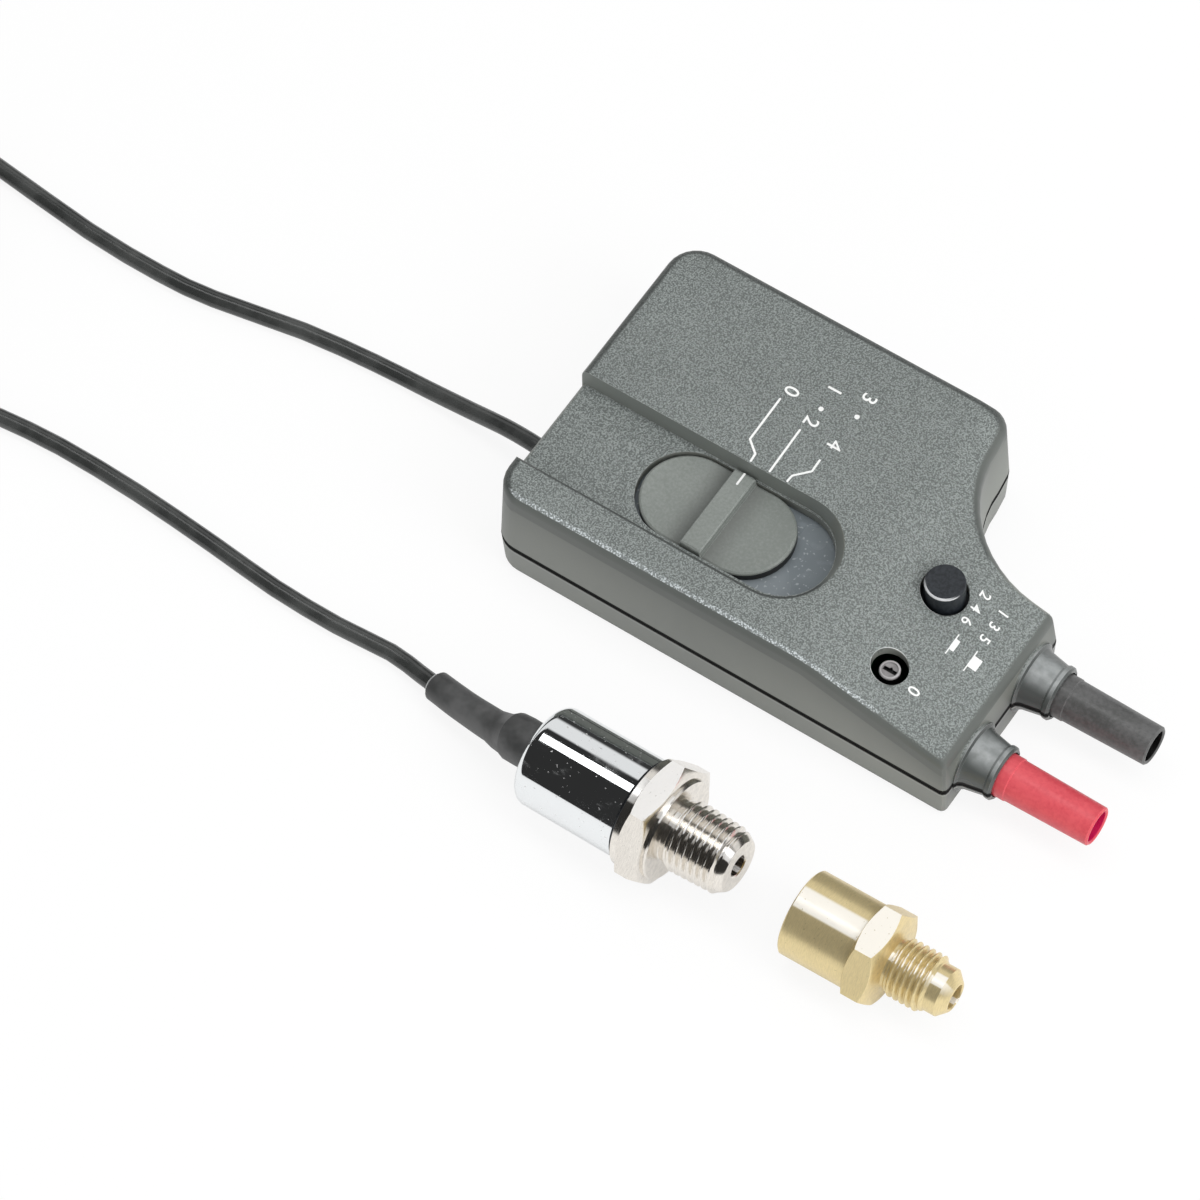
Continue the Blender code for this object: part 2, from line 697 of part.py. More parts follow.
def bottom_shell(surface):
    shell = finished(skinned(lower_rings(), True), "bottom_shell", surface)
    fused = [boss("boss_" + key, place) for key, place in plug_places().items()]
    for x, y in post_places():
        fused.append(rod("post", WALL / 2, LOWER_RIM, POST_RADIUS, COARSE, location=(x, y, 0), rotation=UP))
    for x, y in standoff_places():
        top = BOARD_HEIGHT - CLEARANCE
        fused.append(rod("standoff", WALL / 2, top, STANDOFF_RADIUS, COARSE, location=(x, y, 0), rotation=UP))
    fence_y = BATTERY_NEAR_Y - CLEARANCE - FENCE_THICKNESS
    left = BATTERY_END_X - BATTERY_LENGTH
    fused.append(
        block(
            "fence",
            (left, fence_y, WALL / 2),
            (BATTERY_END_X, fence_y + FENCE_THICKNESS, WALL + FENCE_HEIGHT),
        )
    )
    add(shell, joined("lower_fused", fused))
    cut(shell, lower_trim())
    sink = CASE_SCREW_SINK + CASE_SCREW_HEAD_HEIGHT + CLEARANCE
    holes = [cable_bore(), *plug_bores()]
    for x, y in post_places():
        steps = [
            (-WALL, 0),
            (-WALL, CASE_SCREW_HEAD + CLEARANCE),
            (sink, CASE_SCREW_HEAD + CLEARANCE),
            (sink, CASE_SCREW_RADIUS + CLEARANCE),
            (2 * PARTING_HEIGHT, CASE_SCREW_RADIUS + CLEARANCE),
            (2 * PARTING_HEIGHT, 0),
        ]
        holes.append(turned("sink", steps, COARSE, location=(x, y, 0), rotation=UP))
    for x, y in standoff_places():
        holes.append(
            rod("thread", 1.2 * WALL, 1, BOARD_SCREW_RADIUS + CLEARANCE, 12, location=(x, y, 0), rotation=UP)
        )
    cut(shell, joined("lower_holes", holes))
    return shell


def lower_trim():
    """Takes the upper half off the plug bosses; the lip inside the wall stays."""
    reach = HOUSING_LENGTH
    return block("lower_trim", (PLUG_X - 0.9 * LIP_INSET, -reach, LOWER_RIM), (reach, reach, reach))


# Slide switch


def knob_top(u):
    """Height of the slider's top over its underside, at a distance u from the bar's middle."""
    edge = BAR_WIDTH / 2
    low = KNOB_RIM - KNOB_DISH
    crest = KNOB_RIM + BAR_RISE
    steps = [
        (edge - 0.4 * KNOB_EDGE, crest),
        (edge, crest - 0.3 * KNOB_EDGE),
        (edge + 0.1 * KNOB_EDGE, low + 0.6 * BAR_RISE),
        (edge + 0.6 * KNOB_EDGE, low + 0.15 * BAR_RISE),
        (edge + 1.6 * KNOB_EDGE, low),
    ]
    for reach, height in steps:
        if abs(u) <= reach + 1e-7:
            return height
    span = KNOB_LENGTH / 2 - steps[-1][0]
    return low + KNOB_DISH * ((abs(u) - steps[-1][0]) / span) ** 2


def knob_stations():
    edge = BAR_WIDTH / 2
    offsets = [-0.4 * KNOB_EDGE, 0, 0.1 * KNOB_EDGE, 0.6 * KNOB_EDGE, 1.6 * KNOB_EDGE]
    right = [edge + offset for offset in offsets]
    return [-u for u in reversed(right)] + right


def knob_ring(inset, drop):
    """One loop round the slider, its far and near points in pairs."""
    radius = KNOB_WIDTH / 2 - inset
    middle = KNOB_LENGTH / 2 - KNOB_WIDTH / 2
    left = arc((-middle, 0), radius, 177, 90, 10)
    right = arc((middle, 0), radius, 90, 3, 10)
    far = left + [(u, radius) for u in knob_stations()] + right
    loop = far + [(u, -v) for u, v in reversed(far)]
    if drop is None:
        return [(u, v, 0) for u, v in loop]
    return [(u, v, knob_top(u) - drop) for u, v in loop]


def extruded(name, section, start, end, surface=None, parent=None):
    """A section in the YZ plane, extruded along X."""
    rings = [[(x, y, z) for y, z in section] for x in (start, end)]
    return finished(skinned(rings, False), name, surface, parent=parent)


def slide_knob(parent, surface):
    rings = [
        knob_ring(0, None),
        knob_ring(0, KNOB_EDGE),
        knob_ring(0.3 * KNOB_EDGE, 0.4 * KNOB_EDGE),
        knob_ring(KNOB_EDGE, 0),
    ]
    knob = finished(skinned(rings, True), "slide_knob", surface, parent=parent)
    foot_top = BED_BOTTOM - CLEARANCE - KNOB_BOTTOM
    foot_low = foot_top - FOOT_THICKNESS
    low = PART_BOTTOM + SWITCH_HEIGHT + WALL / 2 - KNOB_BOTTOM
    w = STEM_WIDTH / 2
    f = FOOT_WIDTH / 2
    section = [(-w, low), (w, low), (w, foot_low), (f, foot_low), (f, foot_top), (w, foot_top)]
    section += [(w, WALL / 2), (-w, WALL / 2), (-w, foot_top), (-f, foot_top), (-f, foot_low), (-w, foot_low)]
    stem = extruded("slide_stem", section, -STEM_LENGTH / 2, STEM_LENGTH / 2, parent=parent)
    add(knob, stem)
    side = LEVER_SIZE / 2 + CLEARANCE
    top = low + LEVER_ENGAGEMENT + CLEARANCE
    cut(knob, block("lever_socket", (-side, -side, low - WALL), (side, side, top), parent=parent))
    return knob


def slide_switch_lever(parent, surface):
    side = LEVER_SIZE / 2
    top = PART_BOTTOM + SWITCH_HEIGHT + WALL / 2 - KNOB_BOTTOM + LEVER_ENGAGEMENT
    low = PART_BOTTOM + SWITCH_HEIGHT / 2 + 1.5 * CLEARANCE - KNOB_BOTTOM
    return block("slide_switch_lever", (-side, -side, low), (side, side, top), surface, parent)


def slide_switch_body(surface):
    middle = KNOB_X + SLIDE_TRAVEL / 2
    low = (middle - SWITCH_LENGTH / 2, KNOB_Y - SWITCH_WIDTH / 2, PART_BOTTOM)
    high = (middle + SWITCH_LENGTH / 2, KNOB_Y + SWITCH_WIDTH / 2, PART_BOTTOM + SWITCH_HEIGHT)
    body = block("slide_switch_body", low, high, surface)
    side = LEVER_SIZE / 2 + CLEARANCE
    floor = PART_BOTTOM + SWITCH_HEIGHT / 2
    left = KNOB_X - side
    right = KNOB_X + SLIDE_TRAVEL + side
    cut(body, block("switch_slot", (left, KNOB_Y - side, floor), (right, KNOB_Y + side, HOUSING_HEIGHT)))
    return body


def slide_bed(surface):
    left = KNOB_X - KNOB_LENGTH / 2 - SLIDE_END_CLEARANCE - BED_LAP
    right = CHANNEL_END_X + BED_LAP
    side = CHANNEL_WIDTH / 2 + BED_LAP / 2
    corner = 2 * WALL
    outline = rounded((left, KNOB_Y - side), (right, KNOB_Y + side), corner, 5)
    bed = prism("slide_bed", outline, BED_BOTTOM, BED_TOP, surface)
    reach = STEM_LENGTH / 2 + CLEARANCE
    half = STEM_WIDTH / 2 + CLEARANCE
    low = (KNOB_X - reach, KNOB_Y - half, 0)
    high = (KNOB_X + SLIDE_TRAVEL + reach, KNOB_Y + half, HOUSING_HEIGHT)
    openings = [block("slot", low, high)]
    for x, y in bed_pin_places():
        radius = BED_PIN_RADIUS + CLEARANCE
        openings.append(rod("hole", 0, HOUSING_HEIGHT, radius, 16, location=(x, y, 0), rotation=UP))
    cut(bed, joined("bed_openings", openings))
    return bed


# Circuit board and what stands on it


def circuit_board(surface):
    left = CABLE_X + BOARD_END_MARGIN
    right = PLUG_X - 1.5 * POST_MARGIN - POST_RADIUS - BOARD_MARGIN
    outline = rounded((left, NEAR_Y + WALL + BOARD_MARGIN), (right, BOARD_FAR_Y), WALL / 2, 3)
    board = prism("circuit_board", outline, BOARD_HEIGHT, BOARD_TOP, surface)
    holes = []
    radius = BOARD_SCREW_RADIUS + CLEARANCE
    for x, y in standoff_places():
        holes.append(rod("hole", 0, HOUSING_HEIGHT, radius, COARSE, location=(x, y, 0), rotation=UP))
    cut(board, joined("board_holes", holes))
    return board


def board_screw(name, place, surface):
    head = 1.9 * BOARD_SCREW_RADIUS
    top = PART_BOTTOM + 1.1 * BOARD_SCREW_RADIUS
    profile = [
        (1.35 * WALL, 0),
        (1.35 * WALL, BOARD_SCREW_RADIUS),
        (PART_BOTTOM, BOARD_SCREW_RADIUS),
        (PART_BOTTOM, head),
        (top - CLEARANCE, head),
        (top, head - CLEARANCE),
        (top, 0),
    ]
    return turned(name, profile, COARSE, surface, location=(*place, 0), rotation=UP)


def amplifier_chip(surface):
    low = (CHANNEL_END_X, NEAR_Y + 4 * WALL, PART_BOTTOM)
    high = (low[0] + 0.0088, low[1] + 0.0062, low[2] + 0.0018)
    return block("amplifier_chip", low, high, surface)


def header_x():
    return CABLE_X + BOARD_END_MARGIN + CLEARANCE


def cable_header(surface):
    low = (header_x(), CABLE_Y - 0.0042, PART_BOTTOM)
    high = (header_x() + 0.0050, CABLE_Y + 0.0042, PART_BOTTOM + 0.0052)
    return block("cable_header", low, high, surface)


# Battery


def battery_middle():
    return BATTERY_NEAR_Y + BATTERY_WIDTH / 2, WALL + CLEARANCE + BATTERY_HEIGHT / 2


def terminal_places():
    y, z = battery_middle()
    half = TERMINAL_PITCH / 2
    return {"small": (BATTERY_END_X, y - half, z), "large": (BATTERY_END_X, y + half, z)}


TERMINAL_RADII = {"small": 0.00285, "large": 0.0042}


def battery(surface):
    y, z = battery_middle()
    half = (BATTERY_WIDTH / 2, BATTERY_HEIGHT / 2)
    section = rounded((y - half[0], z - half[1]), (y + half[0], z + half[1]), BATTERY_ROUND, 4)
    body = extruded("battery", section, BATTERY_END_X - BATTERY_LENGTH, BATTERY_END_X, surface)
    studs = []
    for size, place in terminal_places().items():
        studs.append(rod("stud", -WALL / 2, TERMINAL_LENGTH, TERMINAL_RADII[size], COARSE, location=place))
    add(body, joined("battery_terminals", studs))
    return body


def battery_snap(surface):
    y, z = battery_middle()
    start = BATTERY_END_X + CLEARANCE
    end = start + TERMINAL_LENGTH + 2 * CLEARANCE
    side = TERMINAL_PITCH / 2 + TERMINAL_RADII["large"] + WALL / 2
    section = rounded((y - side, z - SNAP_WIDTH / 2), (y + side, z + SNAP_WIDTH / 2), 2 * WALL, 4)
    snap = extruded("battery_snap", section, start, end, surface)
    wells = []
    for size, place in terminal_places().items():
        radius = TERMINAL_RADII[size] + CLEARANCE
        wells.append(rod("well", -WALL, TERMINAL_LENGTH + CLEARANCE, radius, COARSE, location=place))
    cut(snap, joined("snap_wells", wells))
    return snap


# Push-button and zero adjuster


def control_body(name, y, well, surface):
    half = CONTROL_BODY / 2
    depth = 0.8 * CONTROL_BODY_HEIGHT
    top = PART_BOTTOM + CONTROL_BODY_HEIGHT
    body = block(name, (CONTROL_X - half, y - half, PART_BOTTOM), (CONTROL_X + half, y + half, top), surface)
    place = (CONTROL_X, y, 0)
    cut(body, rod(name + "_well", top - depth, 2 * top, well, COARSE, location=place, rotation=UP))
    return body


def push_button(surface):
    top = roof(CONTROL_X) + BUTTON_PROUD
    flange_top = roof(CONTROL_X + BUTTON_FLANGE) - WALL - CLEARANCE
    low = PART_BOTTOM + CONTROL_BODY_HEIGHT - 4 * CLEARANCE
    edge = 0.09 * BUTTON_RADIUS
    profile = [
        (low, 0),
        (low, BUTTON_STEM),
        (flange_top - 4 * CLEARANCE, BUTTON_STEM),
        (flange_top - 4 * CLEARANCE, BUTTON_FLANGE),
        (flange_top, BUTTON_FLANGE),
        (flange_top, BUTTON_RADIUS),
        (top - edge, BUTTON_RADIUS),
        (top - 0.35 * edge, BUTTON_RADIUS - 0.35 * edge),
        (top, BUTTON_RADIUS - edge),
        (top - 0.2 * edge, 0),
    ]
    return turned("push_button", profile, FINE, surface, location=(CONTROL_X, BUTTON_Y, 0), rotation=UP)


def cross(size, width):
    """Outline of a crossed slot."""
    a = size / 2
    b = width / 2
    outline = []
    for turn in range(4):
        c, s = round(math.cos(turn * math.pi / 2)), round(math.sin(turn * math.pi / 2))
        outline += [(c * x - s * y, s * x + c * y) for x, y in ((b, -b), (a, -b), (a, b))]
    return outline


def cross_tool(name, place, size, width, low, high, parent=None):
    outline = [(place[0] + x, place[1] + y) for x, y in cross(size, width)]
    return prism(name, outline, low, high, parent=parent)


def arrow(size, width):
    """Outline of a straight slot with a small pointer at the middle of one side."""
    a = size / 2
    b = width / 2
    return [(-a, -b), (a, -b), (a, b), (0.3 * a, b), (0, 1.9 * b), (-0.3 * a, b), (-a, b)]


def zero_rotor(surface):
    top = roof(CONTROL_X) - ZERO_DEPTH
    low = PART_BOTTOM + 0.3 * CONTROL_BODY_HEIGHT
    edge = 0.1 * ZERO_RADIUS
    floor = top - ZERO_RECESS
    profile = [(low, 0), (low, ZERO_RADIUS), (top - edge, ZERO_RADIUS), (top, ZERO_RADIUS - edge)]
    profile += [(top, 0.8 * ZERO_RADIUS), (floor, 0.76 * ZERO_RADIUS), (floor, 0)]
    rotor = turned("zero_rotor", profile, MEDIUM, surface, location=(CONTROL_X, ZERO_Y, 0), rotation=UP)
    slot = [(CONTROL_X + x, ZERO_Y + y) for x, y in arrow(1.35 * ZERO_RADIUS, ZERO_SLOT)]
    cut(rotor, prism("rotor_slot", slot, floor - 2 * ZERO_RECESS, HOUSING_HEIGHT))
    return rotor


# Plugs


def plug_shroud(name, place, surface):
    """A hollow sleeve with a flange behind the wall and a narrower grip round the pin's root."""
    front = -WALL - 2 * CLEARANCE
    back = front - FLANGE_THICKNESS
    grip = PIN_RADIUS + CLEARANCE
    step = BOSS_REACH + WALL
    lip = 0.1 * SHROUD_BORE
    profile = [
        (back, grip),
        (back, SHROUD_FLANGE),
        (front, SHROUD_FLANGE),
        (front, SHROUD_RADIUS),
        (step, SHROUD_RADIUS),
        (step + lip / 2, SHROUD_RADIUS - lip / 2),
        (PLUG_REACH - lip, SHROUD_TIP_RADIUS),
        (PLUG_REACH, SHROUD_TIP_RADIUS - lip),
        (PLUG_REACH, SHROUD_BORE + lip),
        (PLUG_REACH - lip, SHROUD_BORE),
        (PLUG_REACH - SHROUD_SOCKET, SHROUD_BORE),
        (PLUG_REACH - SHROUD_SOCKET, grip),
    ]
    return turned(name, profile, FINE, surface, location=place)


def plug_pin(name, place, surface):
    back = -WALL - 2 * CLEARANCE - FLANGE_THICKNESS - PIN_TAIL
    tip = PLUG_REACH - PIN_RECESS
    profile = [
        (back, 0),
        (back, 0.8 * PIN_RADIUS),
        (back + 0.2 * PIN_RADIUS, PIN_RADIUS),
        (tip - 0.7 * PIN_RADIUS, PIN_RADIUS),
        (tip - 0.2 * PIN_RADIUS, 0.75 * PIN_RADIUS),
        (tip, 0.4 * PIN_RADIUS),
        (tip, 0),
    ]
    return turned(name, profile, MEDIUM, surface, location=place)


# Case screws


def case_screw(name, place, surface):
    low = CASE_SCREW_SINK
    neck = low + CASE_SCREW_HEAD_HEIGHT
    tip = low + CASE_SCREW_LENGTH
    profile = [
        (low, 0),
        (low, 0.9 * CASE_SCREW_HEAD),
        (low + 0.1 * CASE_SCREW_HEAD, CASE_SCREW_HEAD),
        (neck, CASE_SCREW_HEAD),
        (neck, CASE_SCREW_RADIUS),
        (tip - CASE_SCREW_RADIUS, CASE_SCREW_RADIUS),
        (tip, 0.3 * CASE_SCREW_RADIUS),
        (tip, 0),
    ]
    screw = turned(name, profile, COARSE, surface, location=(*place, 0), rotation=UP)
    size = 1.2 * CASE_SCREW_HEAD
    depth = 0.5 * CASE_SCREW_HEAD
    cut(screw, cross_tool(name + "_recess", place, size, 0.25 * size, -WALL, low + depth))
    return screw


# Cable


def smooth_route(points, spacing):
    """Points at an even spacing on a smooth curve through a route's own points."""
    corners = [Vector(point) for point in points]
    corners = [2 * corners[0] - corners[1], *corners, 2 * corners[-1] - corners[-2]]
    fine = []
    for a, b, c, d in zip(corners, corners[1:], corners[2:], corners[3:]):
        square = 2 * a - 5 * b + 4 * c - d
        cube = 3 * b - a - 3 * c + d
        for k in range(24):
            t = k / 24
            fine.append(b + 0.5 * ((c - a) * t + square * t**2 + cube * t**3))
    fine.append(corners[-2])
    total = sum((q - p).length for p, q in zip(fine, fine[1:]))
    count = round(total / spacing)
    chosen = [fine[0]]
    run = 0.0
    for p, q in zip(fine, fine[1:]):
        run += (q - p).length
        if run >= len(chosen) * total / count and len(chosen) < count:
            chosen.append(q)
    return [*chosen, fine[-1]]


def tube(name, points, surface):
    curve = bpy.data.curves.new(name, "CURVE")
    curve.dimensions = "3D"
    curve.bevel_depth = CABLE_RADIUS
    curve.bevel_resolution = 2
    curve.use_fill_caps = True
    spline = curve.splines.new("POLY")
    spline.points.add(len(points) - 1)
    for knot, point in zip(spline.points, points):
        knot.co = (*point, 1)
    curve.materials.append(surface)
    made = bpy.data.objects.new(name, curve)
    bpy.context.scene.collection.objects.link(made)
    return made


def about_coil(angle, radius):
    turn = math.radians(angle)
    x = COIL_CENTRE[0] + radius * math.cos(turn)
    y = COIL_CENTRE[1] + radius * math.sin(turn)
    return (x, y, CABLE_RADIUS)


def cable_to_coil(surface):
    """Out of the housing, down to the plane, across it and round to the coil's side."""
    height = PARTING_HEIGHT
    ground = CABLE_RADIUS
    route = [
        (header_x() - CLEARANCE, CABLE_Y, height),
        (-0.0440, CABLE_Y, height),
        (-0.0495, CABLE_Y, height),
        (-0.0540, -0.0116, 0.0080),
        (-0.0600, -0.0108, 0.0064),
        (-0.0680, -0.0101, 0.0039),
        (-0.0780, -0.0098, 0.0021),
        (-0.0898, -0.0102, ground),
        (-0.1049, -0.0117, ground),
        (-0.1231, -0.0150, ground),
        (-0.1347, -0.0159, ground),
        (-0.1518, -0.0155, ground),
        (-0.1744, -0.0132, ground),
        (-0.1860, -0.0126, ground),
        about_coil(110, 0.0281),
        about_coil(130, 0.0262),
        about_coil(141, 0.0251),
    ]
    return tube("cable_to_coil", smooth_route(route, 4 * CABLE_RADIUS), surface)


def cable_to_transducer(surface):
    """Off the coil, back across the plane and up into the boot."""
    ground = CABLE_RADIUS
    tip = boot_path()[0][0]
    toward = (boot_path()[1][0] - tip).normalized()
    route = [
        about_coil(272, 0.0250),
        (-0.1750, -0.0662, ground),
        (-0.1600, -0.0620, ground),
        (-0.1500, -0.0588, ground),
        (-0.1412, -0.0574, ground),
        (-0.1279, -0.0564, ground),
        (-0.1102, -0.0567, ground),
        (-0.0920, -0.0580, ground),
        (-0.0774, -0.0593, ground),
        (-0.0635, -0.0595, ground),
        (-0.0520, -0.0588, 0.0018),
        tuple(tip - 0.0045 * toward),
        tuple(tip + (BOOT_SOCKET - 2 * CLEARANCE) * toward),
    ]
    return tube("cable_to_transducer", smooth_route(route, 4 * CABLE_RADIUS), surface)


def cable_coil(surface):
    """The turns kept as one ring, two wide and three high."""
    inner = COIL_RADIUS - 2 * CABLE_RADIUS
    outer = COIL_RADIUS + 2 * CABLE_RADIUS
    low = COIL_BASE
    high = COIL_BASE + 2 * CABLE_RADIUS * COIL_LAYERS
    c = 0.4 * CABLE_RADIUS
    profile = [
        (low, inner + c),
        (low, outer - c),
        (low + c, outer),
        (high - c, outer),
        (high, outer - c),
        (high, inner + c),
        (high - c, inner),
        (low + c, inner),
    ]
    return turned("cable_coil", profile, 2 * FINE, surface, location=(*COIL_CENTRE, 0), rotation=UP)


def coil_tie(surface):
    """A flat strap round the coil's section."""
    gap = TIE_SLACK + TIE_THICKNESS
    low = (-2 * CABLE_RADIUS - gap, 0)
    high = (2 * CABLE_RADIUS + gap, COIL_BASE + 2 * CABLE_RADIUS * COIL_LAYERS + gap)
    outer = rounded(low, high, 2 * TIE_THICKNESS, 4)
    t = TIE_THICKNESS
    inner = rounded((low[0] + t, low[1] + t), (high[0] - t, high[1] - t), TIE_THICKNESS, 4)
    bm = bmesh.new()
    sides = []
    for y in (-TIE_WIDTH / 2, TIE_WIDTH / 2):
        sides.append([[bm.verts.new((x, y, z)) for x, z in outline] for outline in (outer, inner)])
    count = len(outer)
    for i in range(count):
        j = (i + 1) % count
        for outline in (0, 1):
            a, b = sides[0][outline], sides[1][outline]
            bm.faces.new((a[i], a[j], b[j], b[i]))
        for out, inn in sides:
            bm.faces.new((out[i], out[j], inn[j], inn[i]))
    place = (COIL_CENTRE[0] + COIL_RADIUS, COIL_CENTRE[1], 0)
    return finished(bm, "coil_tie", surface, location=place)


def cable_grommet(surface):
    start = -CLEARANCE
    end = 1.2 * WALL
    t = GROMMET_FLANGE_THICKNESS
    bore = CABLE_RADIUS + CLEARANCE
    profile = [
        (start - t, bore),
        (start - t, GROMMET_FLANGE - 0.4 * t),
        (start - 0.6 * t, GROMMET_FLANGE),
        (start, GROMMET_FLANGE),
        (start, GROMMET_RADIUS),
        (end, GROMMET_RADIUS),
        (end, GROMMET_FLANGE),
        (end + t, GROMMET_FLANGE),
        (end + t, bore),
    ]
    return turned("cable_grommet", profile, MEDIUM, surface, location=(CABLE_X, CABLE_Y, PARTING_HEIGHT))


# Transducer


def leaned(heading, tilt):
    a = math.radians(heading)
    return Vector((math.cos(tilt) * math.cos(a), math.cos(tilt) * math.sin(a), math.sin(tilt)))


CAN_END = -PORT_COLLAR_LENGTH - CLEARANCE - CAN_LENGTH
PORT_TILT = math.atan2(PORT_FLATS / 2 - CAN_RADIUS, CAN_EDGE - CAN_END - CAN_EDGE * 2)
PORT_AXIS = leaned(TRANSDUCER_HEADING, PORT_TILT)
PORT_CENTRE = Vector((*TRANSDUCER_PLACE, PORT_FLATS / 2 * math.cos(PORT_TILT) + CLEARANCE / 10))
ADAPTER_TILT = math.atan2(ADAPTER_FLATS / 2 - BARREL_RADIUS, BARREL_LENGTH)
ADAPTER_AXIS = leaned(ADAPTER_HEADING, ADAPTER_TILT)
ADAPTER_CENTRE = Vector((*ADAPTER_PLACE, ADAPTER_FLATS / 2 * math.cos(ADAPTER_TILT) + CLEARANCE / 10))


def hex_blank(name, flats, length, surface, parent):
    """A hexagonal ring with one flat down and both ends chamfered."""
    corner = flats / math.sqrt(3)
    section = arc((0, 0), corner, 0, 300, 5)
    blank = extruded(name, section, 0, length, surface, parent)
    face = 0.98 * flats / 2
    reach = 1.02 * corner
    c = (reach - face) * math.tan(math.radians(30))
    hole = 0.2 * flats
    lens = [(0, hole), (0, face), (c, reach), (length - c, reach), (length, face), (length, hole)]
    combine(blank, turned(name + "_lens", lens, 2 * FINE, parent=parent), "INTERSECT")
    return blank


def pressure_port(parent, surface):
    port = hex_blank("pressure_port", PORT_FLATS, PORT_HEX_LENGTH, surface, parent)
    back = -PORT_COLLAR_LENGTH
    washer = PORT_HEX_LENGTH + 0.0008
    thread = washer + 0.0010
    profile = [
        (back - PORT_SPIGOT_LENGTH, PORT_BORE),
        (back - PORT_SPIGOT_LENGTH, CAN_RADIUS - CAN_WALL - CLEARANCE),
        (back, CAN_RADIUS - CAN_WALL - CLEARANCE),
        (back, PORT_COLLAR),
        (PORT_HEX_LENGTH / 2, PORT_COLLAR),
        (PORT_HEX_LENGTH / 2, 0.94 * PORT_COLLAR),
        (washer - CLEARANCE, 0.94 * PORT_COLLAR),
        (washer, 0.92 * PORT_COLLAR),
        (washer, PORT_NECK),
        (thread, PORT_NECK),
        (thread + 0.0006, PORT_THREAD),
        (PORT_REACH - 0.0012, PORT_THREAD_TIP),
        (PORT_REACH, 0.83 * PORT_THREAD_TIP),
        (PORT_REACH, PORT_BORE),
    ]
    add(port, turned("port_body", profile, FINE, parent=parent))
    return port


def transducer_can(parent, surface):
    inner = CAN_RADIUS - CAN_WALL
    front = -PORT_COLLAR_LENGTH - CLEARANCE
    bend = arc((CAN_END + CAN_EDGE, CAN_RADIUS - CAN_EDGE), CAN_EDGE, 180, 90, 5)
    floor = CAN_END + 1.2 * CAN_WALL
    profile = [(CAN_END, CAN_HOLE), *bend, (front, CAN_RADIUS), (front, inner)]
    profile += [(floor + CAN_WALL, inner), (floor, inner - CAN_WALL), (floor, CAN_HOLE)]
    return turned("transducer_can", profile, 2 * FINE - 16, surface, parent=parent)


def sensor_cell(parent, surface):
    front = -PORT_COLLAR_LENGTH - PORT_SPIGOT_LENGTH - CLEARANCE
    return rod("sensor_cell", front - CELL_LENGTH, front, CELL_RADIUS, MEDIUM, surface, parent=parent)


def sensor_board(parent, surface):
    front = -PORT_COLLAR_LENGTH - PORT_SPIGOT_LENGTH - 4 * CLEARANCE - CELL_LENGTH
    radius = CAN_RADIUS - CAN_WALL - CLEARANCE
    return rod("sensor_board", front - SENSOR_BOARD_THICKNESS, front, radius, MEDIUM, surface, parent=parent)


def boot_path():
    """Centres and radii of the boot, from the cable up to the back of the can."""
    end = PORT_CENTRE + (CAN_END - CLEARANCE) * PORT_AXIS

    def at(share):
        return end + Vector((-share * BOOT_LENGTH, share**1.7 * BOOT_SIDE, -share * BOOT_DROP))

    return [
        (at(1.0), BOOT_TIP_RADIUS),
        (at(0.72), 1.03 * BOOT_TIP_RADIUS),
        (at(0.44), 1.08 * BOOT_TIP_RADIUS),
        (at(0.31), 0.80 * BOOT_BULGE_RADIUS),
        (end - BOOT_BULGE_LENGTH * PORT_AXIS, BOOT_BULGE_RADIUS),
        (end, 0.98 * BOOT_BULGE_RADIUS),
    ]


def heat_shrink_boot(surface):
    path = boot_path()
    centres = smooth_route([tuple(centre) for centre, _ in path], 0.4 * BOOT_BULGE_RADIUS)
    knots = [0.0]
    for (a, _), (b, _) in zip(path, path[1:]):
        knots.append(knots[-1] + (b - a).length)
    rings = []
    run = 0.0
    for i, centre in enumerate(centres):
        ahead = centres[min(i + 1, len(centres) - 1)] - centres[max(i - 1, 0)]
        if i:
            run += (centre - centres[i - 1]).length
        if i == len(centres) - 1:
            ahead = PORT_AXIS
        turn = Vector(ahead).to_track_quat("X", "Z")
        radius = path[-1][1]
        for k in range(len(path) - 1):
            if run <= knots[k + 1]:
                t = (run - knots[k]) / (knots[k + 1] - knots[k])
                ease = t * t * (3 - 2 * t)
                radius = path[k][1] + ease * (path[k + 1][1] - path[k][1])
                break
        rings.append([centre + turn @ Vector((0, y, z)) for y, z in arc((0, 0), radius, 0, 345, 23)])
    boot = finished(skinned(rings, False), "heat_shrink_boot", surface)
    toward = centres[2] - centres[0]
    cut(
        boot,
        rod(
            "boot_socket",
            -BOOT_SOCKET,
            BOOT_SOCKET,
            CABLE_RADIUS + CLEARANCE,
            MEDIUM,
            location=path[0][0],
            rotation=along(toward),
        ),
    )
    return boot


# Brass adapter


